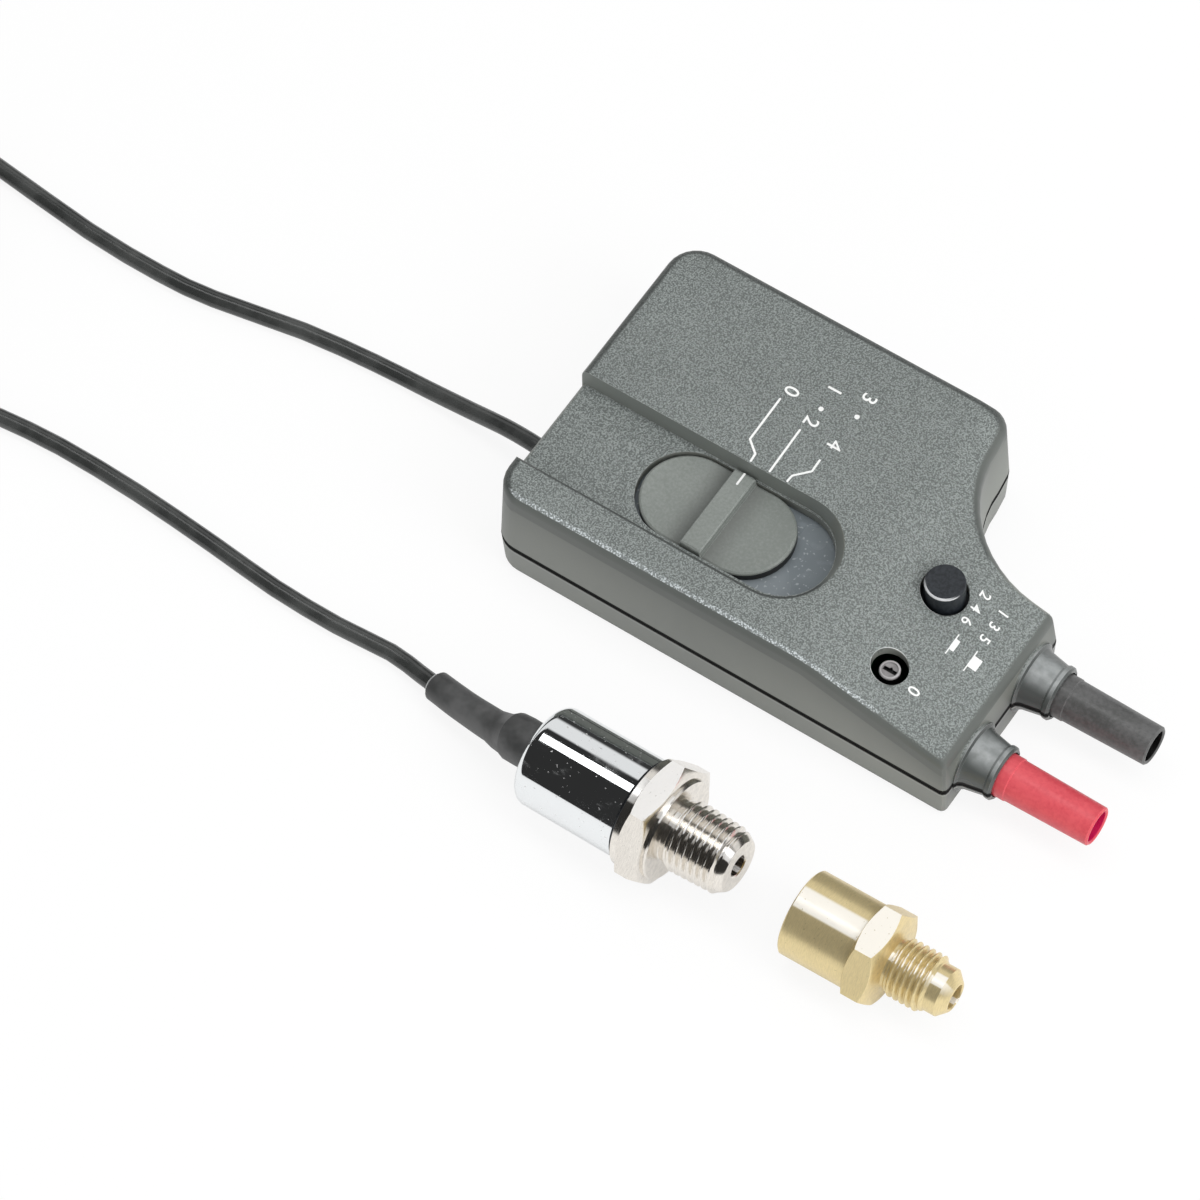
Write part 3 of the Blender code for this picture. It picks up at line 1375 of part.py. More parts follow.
def brass_adapter(parent, surface):
    adapter = hex_blank("brass_adapter", ADAPTER_FLATS, ADAPTER_HEX_LENGTH, surface, parent)
    edge = CLEARANCE
    start = ADAPTER_HEX_LENGTH + 0.0010
    thread_end = FLARE_REACH - FLARE_THREAD_END
    cone = FLARE_REACH - (FLARE_PILOT - FLARE_TIP)
    profile = [
        (-BARREL_LENGTH, SOCKET_MOUTH),
        (-BARREL_LENGTH, BARREL_RADIUS - edge),
        (-BARREL_LENGTH + edge, BARREL_RADIUS),
        (ADAPTER_HEX_LENGTH / 2, BARREL_RADIUS),
        (ADAPTER_HEX_LENGTH / 2, FLARE_PILOT),
        (start, FLARE_PILOT),
        (start + 0.0006, FLARE_THREAD),
        (thread_end, FLARE_THREAD),
        (thread_end + 0.0005, FLARE_PILOT),
        (cone, FLARE_PILOT),
        (FLARE_REACH, FLARE_TIP),
        (FLARE_REACH, FLARE_BORE),
        (-BARREL_LENGTH + SOCKET_DEPTH, FLARE_BORE),
        (-BARREL_LENGTH + SOCKET_DEPTH, 0.88 * SOCKET_MOUTH),
    ]
    add(adapter, turned("adapter_body", profile, FINE, parent=parent))
    return adapter


# Finishes: colour, roughness and metallic value

GRAINED_GREY = ((0.235, 0.245, 0.235), 0.62, 0.0)
SLIDER_GREY = ((0.30, 0.30, 0.28), 0.55, 0.0)
BED_GREY = ((0.13, 0.15, 0.16), 0.35, 0.0)
BLACK = ((0.012, 0.012, 0.012), 0.45, 0.0)
DARK_GREY = ((0.065, 0.065, 0.065), 0.45, 0.0)
RED = ((0.74, 0.06, 0.13), 0.45, 0.0)
WHITE = ((0.75, 0.75, 0.72), 0.5, 0.0)
GREEN = ((0.02, 0.15, 0.06), 0.5, 0.0)
RUBBER = ((0.035, 0.035, 0.036), 0.7, 0.0)
CABLE_GREY = ((0.045, 0.046, 0.048), 0.5, 0.0)
STEEL = ((0.62, 0.62, 0.61), 0.22, 1.0)
POLISHED = ((0.82, 0.82, 0.80), 0.08, 1.0)
NICKEL = ((0.72, 0.70, 0.66), 0.25, 1.0)
BRASS = ((0.80, 0.63, 0.30), 0.28, 1.0)


def build():
    for thing in list(bpy.data.objects):
        bpy.data.objects.remove(thing)

    top_shell(material("top_shell", *GRAINED_GREY))
    bottom_shell(material("bottom_shell", *GRAINED_GREY))
    for number, place in enumerate(post_places(), 1):
        name = f"case_screw_{number}"
        case_screw(name, place, material(name, *STEEL))

    slide = group("slide", (KNOB_X, KNOB_Y, KNOB_BOTTOM), along((1, 0, 0)))
    slide_knob(slide, material("slide_knob", *SLIDER_GREY))
    slide_switch_lever(slide, material("slide_switch_lever", *BLACK))
    slide_bed(material("slide_bed", *BED_GREY))
    slide_switch_body(material("slide_switch_body", *BLACK))

    circuit_board(material("circuit_board", *GREEN))
    for number, place in enumerate(standoff_places(), 1):
        name = f"board_screw_{number}"
        board_screw(name, place, material(name, *STEEL))
    amplifier_chip(material("amplifier_chip", *BLACK))
    cable_header(material("cable_header", *WHITE))
    battery(material("battery", *STEEL))
    battery_snap(material("battery_snap", *BLACK))

    push_button(material("push_button", *BLACK))
    control_body("button_switch", BUTTON_Y, BUTTON_STEM + CLEARANCE, material("button_switch", *BLACK))
    zero_rotor(material("zero_rotor", *WHITE))
    control_body("trimmer_body", ZERO_Y, ZERO_RADIUS + CLEARANCE, material("trimmer_body", *BLACK))

    shroud_finishes = {"black": DARK_GREY, "red": RED}
    for key, place in plug_places().items():
        plug_shroud("plug_shroud_" + key, place, material("plug_shroud_" + key, *shroud_finishes[key]))
        plug_pin("plug_pin_" + key, place, material("plug_pin_" + key, *NICKEL))

    cable_grommet(material("cable_grommet", *BLACK))
    cable_to_coil(material("cable_to_coil", *CABLE_GREY))
    cable_coil(material("cable_coil", *CABLE_GREY))
    coil_tie(material("coil_tie", *BLACK))
    cable_to_transducer(material("cable_to_transducer", *CABLE_GREY))

    heat_shrink_boot(material("heat_shrink_boot", *RUBBER))
    transducer = group("transducer", PORT_CENTRE, along(PORT_AXIS))
    transducer_can(transducer, material("transducer_can", *POLISHED))
    pressure_port(transducer, material("pressure_port", *NICKEL))
    sensor_cell(transducer, material("sensor_cell", *STEEL))
    sensor_board(transducer, material("sensor_board", *GREEN))

    adapter = group("adapter", ADAPTER_CENTRE, along(ADAPTER_AXIS))
    brass_adapter(adapter, material("brass_adapter", *BRASS))


build()
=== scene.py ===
"""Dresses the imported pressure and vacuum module: cable, threads, markings, materials, light and camera."""

import math

import bmesh
import bpy
from mathutils import Matrix, Vector


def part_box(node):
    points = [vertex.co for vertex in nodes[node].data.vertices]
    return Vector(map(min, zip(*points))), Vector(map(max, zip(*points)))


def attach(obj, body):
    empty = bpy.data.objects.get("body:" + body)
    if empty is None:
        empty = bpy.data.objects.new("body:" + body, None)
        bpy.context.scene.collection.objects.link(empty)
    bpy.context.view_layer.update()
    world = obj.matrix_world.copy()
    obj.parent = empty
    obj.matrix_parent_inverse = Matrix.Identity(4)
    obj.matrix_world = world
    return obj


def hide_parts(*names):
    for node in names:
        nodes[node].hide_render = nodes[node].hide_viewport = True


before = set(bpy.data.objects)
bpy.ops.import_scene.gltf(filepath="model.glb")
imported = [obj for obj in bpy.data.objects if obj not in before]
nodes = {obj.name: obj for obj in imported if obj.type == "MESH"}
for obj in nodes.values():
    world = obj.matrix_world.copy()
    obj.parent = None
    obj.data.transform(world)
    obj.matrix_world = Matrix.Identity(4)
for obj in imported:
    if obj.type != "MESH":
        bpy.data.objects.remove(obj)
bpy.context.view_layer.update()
scene = bpy.context.scene
scene.view_settings.view_transform = "Standard"
MM = 0.001


# Camera

AZIMUTH = math.radians(37.64)
ELEVATION = math.radians(60.20)
ROLL = math.radians(-4.09)
TARGET = Vector((-0.0272, -0.0286, 0.0))
DISTANCE = 1.0925
IMAGE_SIDE = 1200
FOCAL_PIXELS = 6047.5
SENSOR = 36


def make_camera():
    """The camera fitted to the photograph, by its angles, its aim and its focal length."""
    level = math.cos(ELEVATION)
    back = Vector((math.sin(AZIMUTH) * level, -math.cos(AZIMUTH) * level, math.sin(ELEVATION)))
    right = Vector((math.cos(AZIMUTH), math.sin(AZIMUTH), 0))
    up = back.cross(right)
    across = math.cos(ROLL) * right + math.sin(ROLL) * up
    upward = -math.sin(ROLL) * right + math.cos(ROLL) * up
    data = bpy.data.cameras.new("camera")
    data.sensor_fit = "HORIZONTAL"
    data.sensor_width = SENSOR
    data.lens = SENSOR * FOCAL_PIXELS / IMAGE_SIDE
    data.clip_start = 0.05
    data.clip_end = 20
    camera = bpy.data.objects.new("camera", data)
    scene.collection.objects.link(camera)
    turn = Matrix((across, upward, back)).transposed()
    camera.matrix_world = Matrix.Translation(TARGET + DISTANCE * back) @ turn.to_4x4()
    scene.camera = camera


make_camera()


# Node helpers

RANGE_KEYS = ("From Min", "From Max", "To Min", "To Max")

# A Mix node's colour sockets share their names with its other sockets, so they go by number.
MIX_A = 6
MIX_B = 7
MIX_RESULT = 2


class Look:
    """A Principled material with object coordinates and short calls for the usual nodes."""

    def __init__(self, name, rough=0.5, metal=0.0):
        self.material = bpy.data.materials.new(name)
        self.material.use_nodes = True
        self.tree = self.material.node_tree
        self.shader = self.tree.nodes["Principled BSDF"]
        self.shader.inputs["Roughness"].default_value = rough
        self.shader.inputs["Metallic"].default_value = metal
        self.place = self.node("ShaderNodeTexCoord").outputs["Object"]

    def node(self, kind, **settings):
        made = self.tree.nodes.new(kind)
        for key, value in settings.items():
            setattr(made, key, value)
        return made

    def link(self, source, target):
        self.tree.links.new(source, target)

    def stretched(self, scale):
        mapping = self.node("ShaderNodeMapping")
        mapping.inputs["Scale"].default_value = scale
        self.link(self.place, mapping.inputs["Vector"])
        return mapping.outputs["Vector"]

    def noise(self, scale, detail=2.0, rough=0.5, stretch=None):
        made = self.node("ShaderNodeTexNoise")
        self.link(self.stretched(stretch) if stretch else self.place, made.inputs["Vector"])
        made.inputs["Scale"].default_value = scale
        made.inputs["Detail"].default_value = detail
        made.inputs["Roughness"].default_value = rough
        return made.outputs["Fac"]

    def cells(self, scale):
        """Distance from the middle of the nearest of many small cells."""
        made = self.node("ShaderNodeTexVoronoi")
        self.link(self.place, made.inputs["Vector"])
        made.inputs["Scale"].default_value = scale
        return made.outputs["Distance"]

    def range(self, value, low, high, to_low=0.0, to_high=1.0):
        made = self.node("ShaderNodeMapRange", interpolation_type="SMOOTHSTEP")
        self.link(value, made.inputs["Value"])
        for key, number in zip(RANGE_KEYS, (low, high, to_low, to_high)):
            made.inputs[key].default_value = number
        return made.outputs["Result"]

    def math(self, kind, a, b=0.0):
        made = self.node("ShaderNodeMath", operation=kind)
        for socket, value in zip(made.inputs, (a, b)):
            if isinstance(value, (int, float)):
                socket.default_value = value
            else:
                self.link(value, socket)
        return made.outputs[0]

    def times(self, a, b):
        return self.math("MULTIPLY", a, b)

    def plus(self, a, b):
        return self.math("ADD", a, b)

    def minus(self, a, b):
        return self.math("SUBTRACT", a, b)

    def greater(self, a, b):
        return self.math("MAXIMUM", a, b)

    def window(self, value, middle, half, fade):
        """One within a half width of the middle, fading to nothing outside it."""
        off = self.math("ABSOLUTE", self.minus(value, middle))
        return self.range(off, half, half + fade, 1.0, 0.0)

    def away(self, across, up, centre):
        """Distance in a plane of two coordinates from a centre."""
        squares = []
        for value, middle in zip((across, up), centre):
            step = self.minus(value, middle)
            squares.append(self.times(step, step))
        return self.math("SQRT", self.plus(*squares))

    def mix(self, share, a, b):
        made = self.node("ShaderNodeMix", data_type="RGBA")
        self.link(share, made.inputs["Factor"])
        for socket, value in zip((made.inputs[MIX_A], made.inputs[MIX_B]), (a, b)):
            if isinstance(value, tuple):
                socket.default_value = (*value, 1)
            else:
                self.link(value, socket)
        return made.outputs[MIX_RESULT]

    def axes(self, vector):
        """The three outputs of a split vector, by their names X, Y and Z."""
        split = self.node("ShaderNodeSeparateXYZ")
        self.link(vector, split.inputs["Vector"])
        return split.outputs

    def normals(self):
        """The three parts of the direction that the surface faces."""
        return self.axes(self.node("ShaderNodeNewGeometry").outputs["Normal"])

    def edges(self, radius, most):
        """Share, up to the given most, near edges whose normal turns within the radius."""
        soft = self.node("ShaderNodeBevel", samples=6)
        soft.inputs["Radius"].default_value = radius
        turn = self.node("ShaderNodeVectorMath", operation="DOT_PRODUCT")
        self.link(soft.outputs["Normal"], turn.inputs[0])
        self.link(self.node("ShaderNodeNewGeometry").outputs["Normal"], turn.inputs[1])
        return self.range(turn.outputs["Value"], 0.985, 0.88, 0.0, most)

    def colour(self, value):
        self.link(value, self.shader.inputs["Base Color"])

    def rough(self, value):
        self.link(value, self.shader.inputs["Roughness"])

    def bump(self, height, distance, strength=1.0):
        made = self.node("ShaderNodeBump")
        made.inputs["Distance"].default_value = distance
        made.inputs["Strength"].default_value = strength
        self.link(height, made.inputs["Height"])
        self.link(made.outputs["Normal"], self.shader.inputs["Normal"])


def plastic(name, dark, light, scale=1500, rough=(0.45, 0.6), bump=0.01 * MM):
    """Moulded plastic: a fine mottle over a broad one, uneven gloss and a light texture."""
    look = Look(name)
    fine = look.noise(scale, 3)
    wide = look.noise(60, 2)
    share = look.plus(look.times(fine, 0.6), look.times(wide, 0.4))
    look.colour(look.mix(look.range(share, 0.35, 0.65), dark, light))
    look.rough(look.range(wide, 0.3, 0.7, *rough))
    look.bump(fine, bump)
    return look


def centre_of(name):
    """Centre of a node's box at rest."""
    low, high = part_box(name)
    return (Vector(low) + Vector(high)) / 2


# Places on the housing that the materials follow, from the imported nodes
PARTING = centre_of("plug_shroud_black").z
NEAR_EDGE_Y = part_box("top_shell")[0][1]
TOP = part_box("top_shell")[1][2]
KNOB_X = centre_of("slide_knob").x
KNOB_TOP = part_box("slide_knob")[1][2]
ROTOR_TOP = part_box("zero_rotor")[1][2]
PLUG_YS = {name: centre_of("plug_" + name).y for name in ("shroud_black", "shroud_red")}
BUTTON = centre_of("push_button")
ROTOR = centre_of("zero_rotor")
CONTROL_HOLES = ((BUTTON.x, BUTTON.y, 4.55 * MM), (ROTOR.x, ROTOR.y, 3.55 * MM))

# Places inside a node, which its box doesn't give
BOSS_START = 48.3 * MM
CHANNEL_FLOOR = 20.8 * MM
FAR_WALL_Y = -0.6 * MM
SLOPE_START = 18.0 * MM
SLOPE_FALL = 0.275
BAR_HALF = 2.15 * MM
SHROUD_BORE = 3.0 * MM

# From here to the cord, faces that look along -X are the housing's end edge
CORD_PART_X = -36.4 * MM
# The painted shade of the near edge starts at this height, where the top is level
ROLL_LOW = 21.1 * MM


class HousingLook(Look):
    """The housing: grained on top, with painted shade over its rounded edges, satin on its walls and bosses.
    """

    def __init__(self):
        super().__init__("grained_housing")
        self.facing = self.normals()
        self.at = self.axes(self.place)
        self.off_boss = self.range(self.at["X"], BOSS_START, BOSS_START + 0.5 * MM, 1.0, 0.0)
        self.grained = self.times(self.range(self.facing["Z"], 0.72, 0.90), self.off_boss)
        self.grain = self.plus(self.times(self.cells(2900), -0.5), self.noise(3300, 1))
        self.wide = self.noise(45, 2)
        above = self.range(self.at["Z"], CHANNEL_FLOOR, CHANNEL_FLOOR + 0.6 * MM)
        self.raised = self.times(above, self.off_boss)
        outer = self.range(self.at["Y"], NEAR_EDGE_Y + 2.0 * MM, NEAR_EDGE_Y + 2.6 * MM, 1.0, 0.0)
        self.near = self.times(self.range(self.facing["Y"], -0.30, -0.12, 1.0, 0.0), outer)
        tint = self.fine_lines(self.rolled_edges(self.channel_edges(self.base())))
        seam = self.window(self.at["Z"], PARTING, 0.68 * MM, 0.12 * MM)
        self.colour(self.mix(seam, tint, (0.003, 0.003, 0.003)))
        gloss = self.plus(self.times(self.off_boss, 0.16), self.range(self.wide, 0.3, 0.7, 0.22, 0.28))
        self.rough(self.plus(gloss, self.times(seam, 0.5)))
        fine = self.times(self.noise(4200, 1), 0.06)
        self.bump(self.plus(self.times(self.grain, self.grained), fine), 0.22 * MM)

    def base(self):
        """Grained top, satin walls, and bosses with painted light: pale on their crowns, dark on their
        sides.
        """
        broad = self.range(self.wide, 0.3, 0.7)
        dark = self.mix(broad, (0.132, 0.147, 0.141), (0.141, 0.157, 0.151))
        light = self.mix(broad, (0.296, 0.326, 0.315), (0.310, 0.341, 0.330))
        top = self.mix(self.range(self.grain, 0.08, 0.44), dark, light)
        wall = self.mix(broad, (0.188, 0.199, 0.180), (0.220, 0.231, 0.209))
        # Painted light and shade on the bosses: a dark colour where they face sideways, a pale one where
        # they face up.
        side = self.mix(broad, (0.060, 0.066, 0.064), (0.080, 0.088, 0.085))
        mottle = self.range(self.noise(500, 3), 0.3, 0.7)
        painted_lit_crown = self.mix(mottle, (0.225, 0.239, 0.237), (0.325, 0.342, 0.342))
        boss = self.mix(self.range(self.facing["Z"], 0.62, 0.985), side, painted_lit_crown)
        return self.mix(self.grained, self.mix(self.off_boss, boss, wall), top)

    def channel_edges(self, tint):
        """Painted shade as a dark crest on the edges that look away from the operator, and painted light as
        a paler colour of its own on the channel's upright far wall.
        """
        at_end = self.range(self.at["X"], CORD_PART_X, CORD_PART_X + 0.5 * MM, -1.0, 0.0)
        turned_far = self.greater(self.facing["Y"], self.times(self.facing["X"], at_end))
        # Painted shade: edges that face away from the operator are darkened along the crest.
        crest = self.times(self.range(turned_far, 0.05, 0.30, 0.0, 0.85), self.raised)
        tint = self.mix(crest, tint, (0.050, 0.056, 0.053))
        # Painted light: the far wall gets a colour of its own, paler than the other walls, to set how bright
        # it renders.
        beside = self.window(self.at["Y"], FAR_WALL_Y, 2.6 * MM, 0.5 * MM)
        steep = self.times(self.range(self.facing["Z"], 0.60, 0.80, 1.0, 0.0), beside)
        return self.mix(self.times(steep, self.raised), tint, (0.222, 0.240, 0.224))

    def rolled_edges(self, tint):
        """Painted shade as a dark band over the rounded edges, near and towards the plugs, with painted
        glints along its top.
        """
        towards_plugs = self.times(self.range(self.facing["X"], 0.30, 0.45), self.off_boss)
        rounded = self.greater(self.near, towards_plugs)
        past = self.greater(self.minus(self.at["X"], SLOPE_START), 0.0)
        level = self.plus(self.at["Z"], self.times(past, SLOPE_FALL))
        upper = self.times(self.range(level, ROLL_LOW, ROLL_LOW + 0.7 * MM), self.near)
        upper = self.times(upper, self.range(self.facing["Z"], 0.78, 0.92, 1.0, 0.0))
        # Painted shade: the rounded edges are darkened as if turned away from the light.
        rolled = self.times(self.window(self.facing["Z"], 0.48, 0.30, 0.14), rounded)
        rolled = self.greater(rolled, upper)
        tint = self.mix(self.times(rolled, 0.85), tint, (0.098, 0.108, 0.101))
        # Painted highlight: pale glints, taken from the grain, along the top of the near edge.
        sparkling = self.times(self.window(self.facing["Z"], 0.90, 0.07, 0.04), self.near)
        painted_glints = self.times(self.range(self.grain, 0.22, 0.42, 0.15, 0.9), sparkling)
        return self.mix(self.times(painted_glints, self.raised), tint, (0.66, 0.71, 0.73))

    def fine_lines(self, tint):
        """Painted highlights as pale rings round the control holes and pale lines along sharp edges, a paler
        line at the parting's lip, and painted shadow as a dark foot at the floor.
        """
        for x, y, radius in CONTROL_HOLES:
            # Painted highlight: a pale ring on the rounded rim of each control hole.
            ring = self.window(self.away(self.at["X"], self.at["Y"], (x, y)), radius, 0.06 * MM, 0.06 * MM)
            turned = self.window(self.facing["Z"], 0.60, 0.22, 0.10)
            tint = self.mix(self.times(ring, turned), tint, (0.66, 0.68, 0.67))
        lip = self.window(self.at["Z"], PARTING - 1.15 * MM, 0.10 * MM, 0.30 * MM)
        tint = self.mix(self.times(lip, 0.5), tint, (0.32, 0.33, 0.31))
        # Painted highlight: pale lines along sharp edges.
        tint = self.mix(self.edges(0.22 * MM, 0.35), tint, (0.46, 0.49, 0.48))
        # Painted shadow: a dark band at the foot, where the housing meets the floor.
        foot_shadow = self.range(self.at["Z"], 0.5 * MM, 1.3 * MM, 0.85, 0.0)
        return self.mix(foot_shadow, tint, (0.02, 0.02, 0.02))


def slider_look():
    """The slide switch's knob, with painted light: shade darker towards its bar, shadow black down its sides
    and a pale highlight along its rim.
    """
    look = Look("slider_plastic")
    facing = look.normals()
    place = look.axes(look.place)
    fine = look.noise(1900, 3, 0.6)
    wide = look.noise(60, 2)
    share = look.plus(look.times(fine, 0.6), look.times(wide, 0.4))
    base = look.mix(look.range(share, 0.35, 0.65), (0.203, 0.223, 0.206), (0.256, 0.277, 0.260))
    from_bar = look.math("ABSOLUTE", look.minus(place["X"], KNOB_X))
    off = look.minus(from_bar, BAR_HALF)
    on_face = look.range(off, 0.0, 0.3 * MM)
    # Painted shade: darker on the faces near the bar.
    shade = look.times(on_face, look.range(off, 0.0, 5.5 * MM, 0.62, 0.0))
    base = look.mix(shade, base, (0.10, 0.105, 0.098))
    # Painted highlight: pale along the rim's edges.
    base = look.mix(look.edges(0.2 * MM, 0.7), base, (0.50, 0.53, 0.51))
    # Painted shadow: the knob's steep sides are made black.
    steep = look.range(facing["Z"], 0.30, 0.50, 1.0, 0.0)
    shadowed_sides = look.times(steep, look.range(off, 0.5 * MM, 0.8 * MM))
    look.colour(look.mix(shadowed_sides, base, (0.006, 0.006, 0.006)))
    look.rough(look.range(wide, 0.3, 0.7, 0.42, 0.55))
    look.bump(fine, 0.03 * MM)
    return look


def bed_look():
    """Glossy blue-grey sheet with pale specks of dust."""
    look = Look("bed_plastic")
    wide = look.noise(90, 2)
    base = look.mix(look.range(wide, 0.3, 0.7), (0.190, 0.219, 0.236), (0.243, 0.275, 0.295))
    specks = look.range(look.noise(1250, 1), 0.64, 0.70, 0.0, 0.55)
    base = look.mix(specks, base, (0.50, 0.54, 0.56))
    film = look.range(look.noise(380, 3), 0.56, 0.72, 0.0, 0.28)
    look.colour(look.mix(film, base, (0.33, 0.37, 0.40)))
    look.rough(look.range(wide, 0.3, 0.7, 0.22, 0.34))
    look.bump(look.noise(1250, 1), 0.01 * MM, 0.5)
    return look


def button_look():
    """Dark blue-black cap with a textured top and a painted highlight: a pale rim on the side of the
    operator.
    """
    look = Look("button_plastic")
    facing = look.normals()
    fine = look.noise(1500, 3, 0.65)
    base = look.mix(look.range(fine, 0.35, 0.65), (0.009, 0.012, 0.016), (0.024, 0.029, 0.036))
    # Painted highlight on the rounded rim that faces the operator.
    near = look.range(facing["Y"], -0.45, -0.15, 1.0, 0.0)
    rim_highlight = look.times(look.window(facing["Z"], 0.66, 0.22, 0.08), near)
    look.colour(look.mix(rim_highlight, base, (0.60, 0.61, 0.62)))
    look.rough(look.range(fine, 0.3, 0.7, 0.40, 0.52))
    look.bump(fine, 0.05 * MM)
    return look


def rotor_look():
    """Grey adjuster disc, with painted shade: black inside its slot."""
    look = Look("rotor_plastic")
    place = look.axes(look.place)
    wide = look.noise(700, 2)
    base = look.mix(look.range(wide, 0.3, 0.7), (0.24, 0.23, 0.23), (0.34, 0.33, 0.33))
    face = look.range(place["Z"], ROTOR_TOP - 0.25 * MM, ROTOR_TOP - 0.05 * MM)
    base = look.mix(face, base, (0.44, 0.43, 0.43))
    # Painted shade: everything deeper than the slot's walls is made black.
    slot = look.range(place["Z"], ROTOR_TOP - 0.62 * MM, ROTOR_TOP - 0.46 * MM, 1.0, 0.0)
    look.colour(look.mix(slot, base, (0.004, 0.004, 0.004)))
    look.rough(look.range(wide, 0.3, 0.7, 0.30, 0.42))
    look.bump(wide, 0.01 * MM)
    return look


def brushed(name, tint, rough, across, metal=1.0, glow=0.5):
    """Turned or milled metal: fine lines along a stretch, and a painted highlight, pale and less metallic,
    where it looks up and along its lit side.
    """
    look = Look(name)
    facing = look.normals()
    # Painted highlight: faces that look up, and a band of the side that faces the softbox, turn pale; glow
    # sets how much.
    level = look.range(facing["Z"], 0.985, 0.996)
    upright = look.range(facing["Z"], 0.5, 0.8)
    lit = look.times(look.window(facing["Y"], -0.21, 0.13, 0.06), upright)
    painted_shine = look.times(look.greater(level, lit), glow)
    streaks = look.noise(900, 3, 0.6, stretch=across)
    wide = look.noise(120, 2)
    deep = tuple(c * 0.90 for c in tint)
    pale = tuple(c * 1.04 for c in tint)
    base = look.mix(look.range(streaks, 0.3, 0.7), deep, pale)
    base = look.mix(painted_shine, base, tuple(0.2 * c + 0.8 for c in tint))
    specks = look.range(look.noise(2600, 0), 0.80, 0.84, 0.0, 0.6)
    look.colour(look.mix(specks, base, tuple(c * 0.6 for c in tint)))
    look.link(look.range(painted_shine, 0.0, 1.0, metal, 0.35 * metal), look.shader.inputs["Metallic"])
    gloss = look.range(wide, 0.3, 0.7, rough * 0.9, rough * 1.15)
    look.rough(look.plus(gloss, look.times(level, 0.2)))
    look.bump(streaks, 0.0015 * MM, 0.5)
    return look


def mirror_look():
    """Polished steel with a little dust and faint wiping marks."""
    look = Look("polished_can", metal=1.0)
    smears = look.noise(160, 3, 0.6, stretch=(0.6, 1.6, 1.6))
    specks = look.range(look.noise(1900, 0), 0.775, 0.81)
    look.colour(look.mix(specks, (0.84, 0.86, 0.87), (0.97, 0.97, 0.97)))
    film = look.range(look.noise(230, 4, 0.65, stretch=(0.7, 1.5, 1.5)), 0.56, 0.70, 1.0, 0.90)
    look.link(film, look.shader.inputs["Metallic"])
    gloss = look.range(smears, 0.45, 0.75, 0.03, 0.16)
    look.rough(look.plus(gloss, look.times(specks, 0.5)))
    look.bump(smears, 0.002 * MM, 0.25)
    return look


def rubber_look(name, dark, light, rough, bump):
    look = Look(name)
    wide = look.noise(130, 3, 0.6)
    fine = look.noise(1400, 3)
    look.colour(look.mix(look.range(wide, 0.35, 0.65), dark, light))
    look.rough(look.range(wide, 0.3, 0.7, *rough))
    look.bump(look.plus(wide, look.times(fine, 0.25)), bump * MM, 0.6)
    return look


def shroud_look(name, dark, light, bore):
    """A plug's sleeve, finely pitted, with painted highlights along its edges and its own colour inside its
    bore: painted shade in the black plug, a deeper crimson in the red one.
    """
    look = Look(name)
    place = look.axes(look.place)
    fine = look.noise(1300, 3, 0.6)
    wide = look.noise(110, 2)
    share = look.plus(look.times(fine, 0.5), look.times(wide, 0.5))
    base = look.mix(look.range(share, 0.35, 0.65), dark, light)
    pale = tuple(min(1.0, c * 1.4 + 0.04) for c in light)
    # Painted highlight: pale along the sleeve's edges.
    base = look.mix(look.edges(0.2 * MM, 0.7), base, pale)
    off_axis = look.away(place["Y"], place["Z"], (PLUG_YS[name], PARTING))
    bore_shade_and_tone = look.range(off_axis, SHROUD_BORE, SHROUD_BORE + 0.12 * MM, 1.0, 0.0)
    look.colour(look.mix(bore_shade_and_tone, base, bore))
    look.rough(look.range(wide, 0.3, 0.7, 0.34, 0.46))
    look.bump(fine, 0.02 * MM)
    return look


# Bore colours: the black plug's is painted shade; the red plug's is a darker, deeper crimson.
BLACK_BORE_SHADE = (0.003, 0.003, 0.003)
RED_BORE = (0.60, 0.006, 0.090)

LOOKS = {
    "housing": HousingLook(),
    "slider": slider_look(),
    "bed": bed_look(),
    "button": button_look(),
    "rotor": rotor_look(),
    "black": plastic("black_plastic", (0.012, 0.014, 0.017), (0.024, 0.027, 0.031), bump=0.02 * MM),
    "shroud_black": shroud_look("shroud_black", (0.072, 0.073, 0.071), (0.12, 0.12, 0.12), BLACK_BORE_SHADE),
    "shroud_red": shroud_look("shroud_red", (0.62, 0.060, 0.082), (0.72, 0.094, 0.114), RED_BORE),
    "white": plastic("pale_plastic", (0.52, 0.53, 0.52), (0.64, 0.65, 0.64), 1100, (0.35, 0.5)),
    "ink": plastic("white_ink", (0.86, 0.87, 0.86), (0.95, 0.95, 0.94), 2500, (0.5, 0.6), 0.003 * MM),
    "board": plastic("board_resist", (0.010, 0.075, 0.030), (0.016, 0.110, 0.045), 400, (0.25, 0.4)),
    "cable": rubber_look("cable_sheath", (0.034, 0.036, 0.035), (0.062, 0.065, 0.063), (0.17, 0.30), 0.10),
    "rubber": rubber_look("boot_rubber", (0.050, 0.051, 0.051), (0.112, 0.113, 0.113), (0.40, 0.58), 0.14),
    "glue": rubber_look("glue_rim", (0.40, 0.41, 0.41), (0.62, 0.63, 0.63), (0.25, 0.40), 0.05),
    "polished": mirror_look(),
    "nickel": brushed("nickel_plate", (0.84, 0.80, 0.74), 0.18, (8, 1, 1), glow=0.75),
    "steel": brushed("plain_steel", (0.62, 0.62, 0.61), 0.28, (1, 6, 6), glow=0.0),
    "brass": brushed("turned_brass", (0.80, 0.66, 0.36), 0.33, (8, 1, 1), metal=0.66, glow=0.9),
}

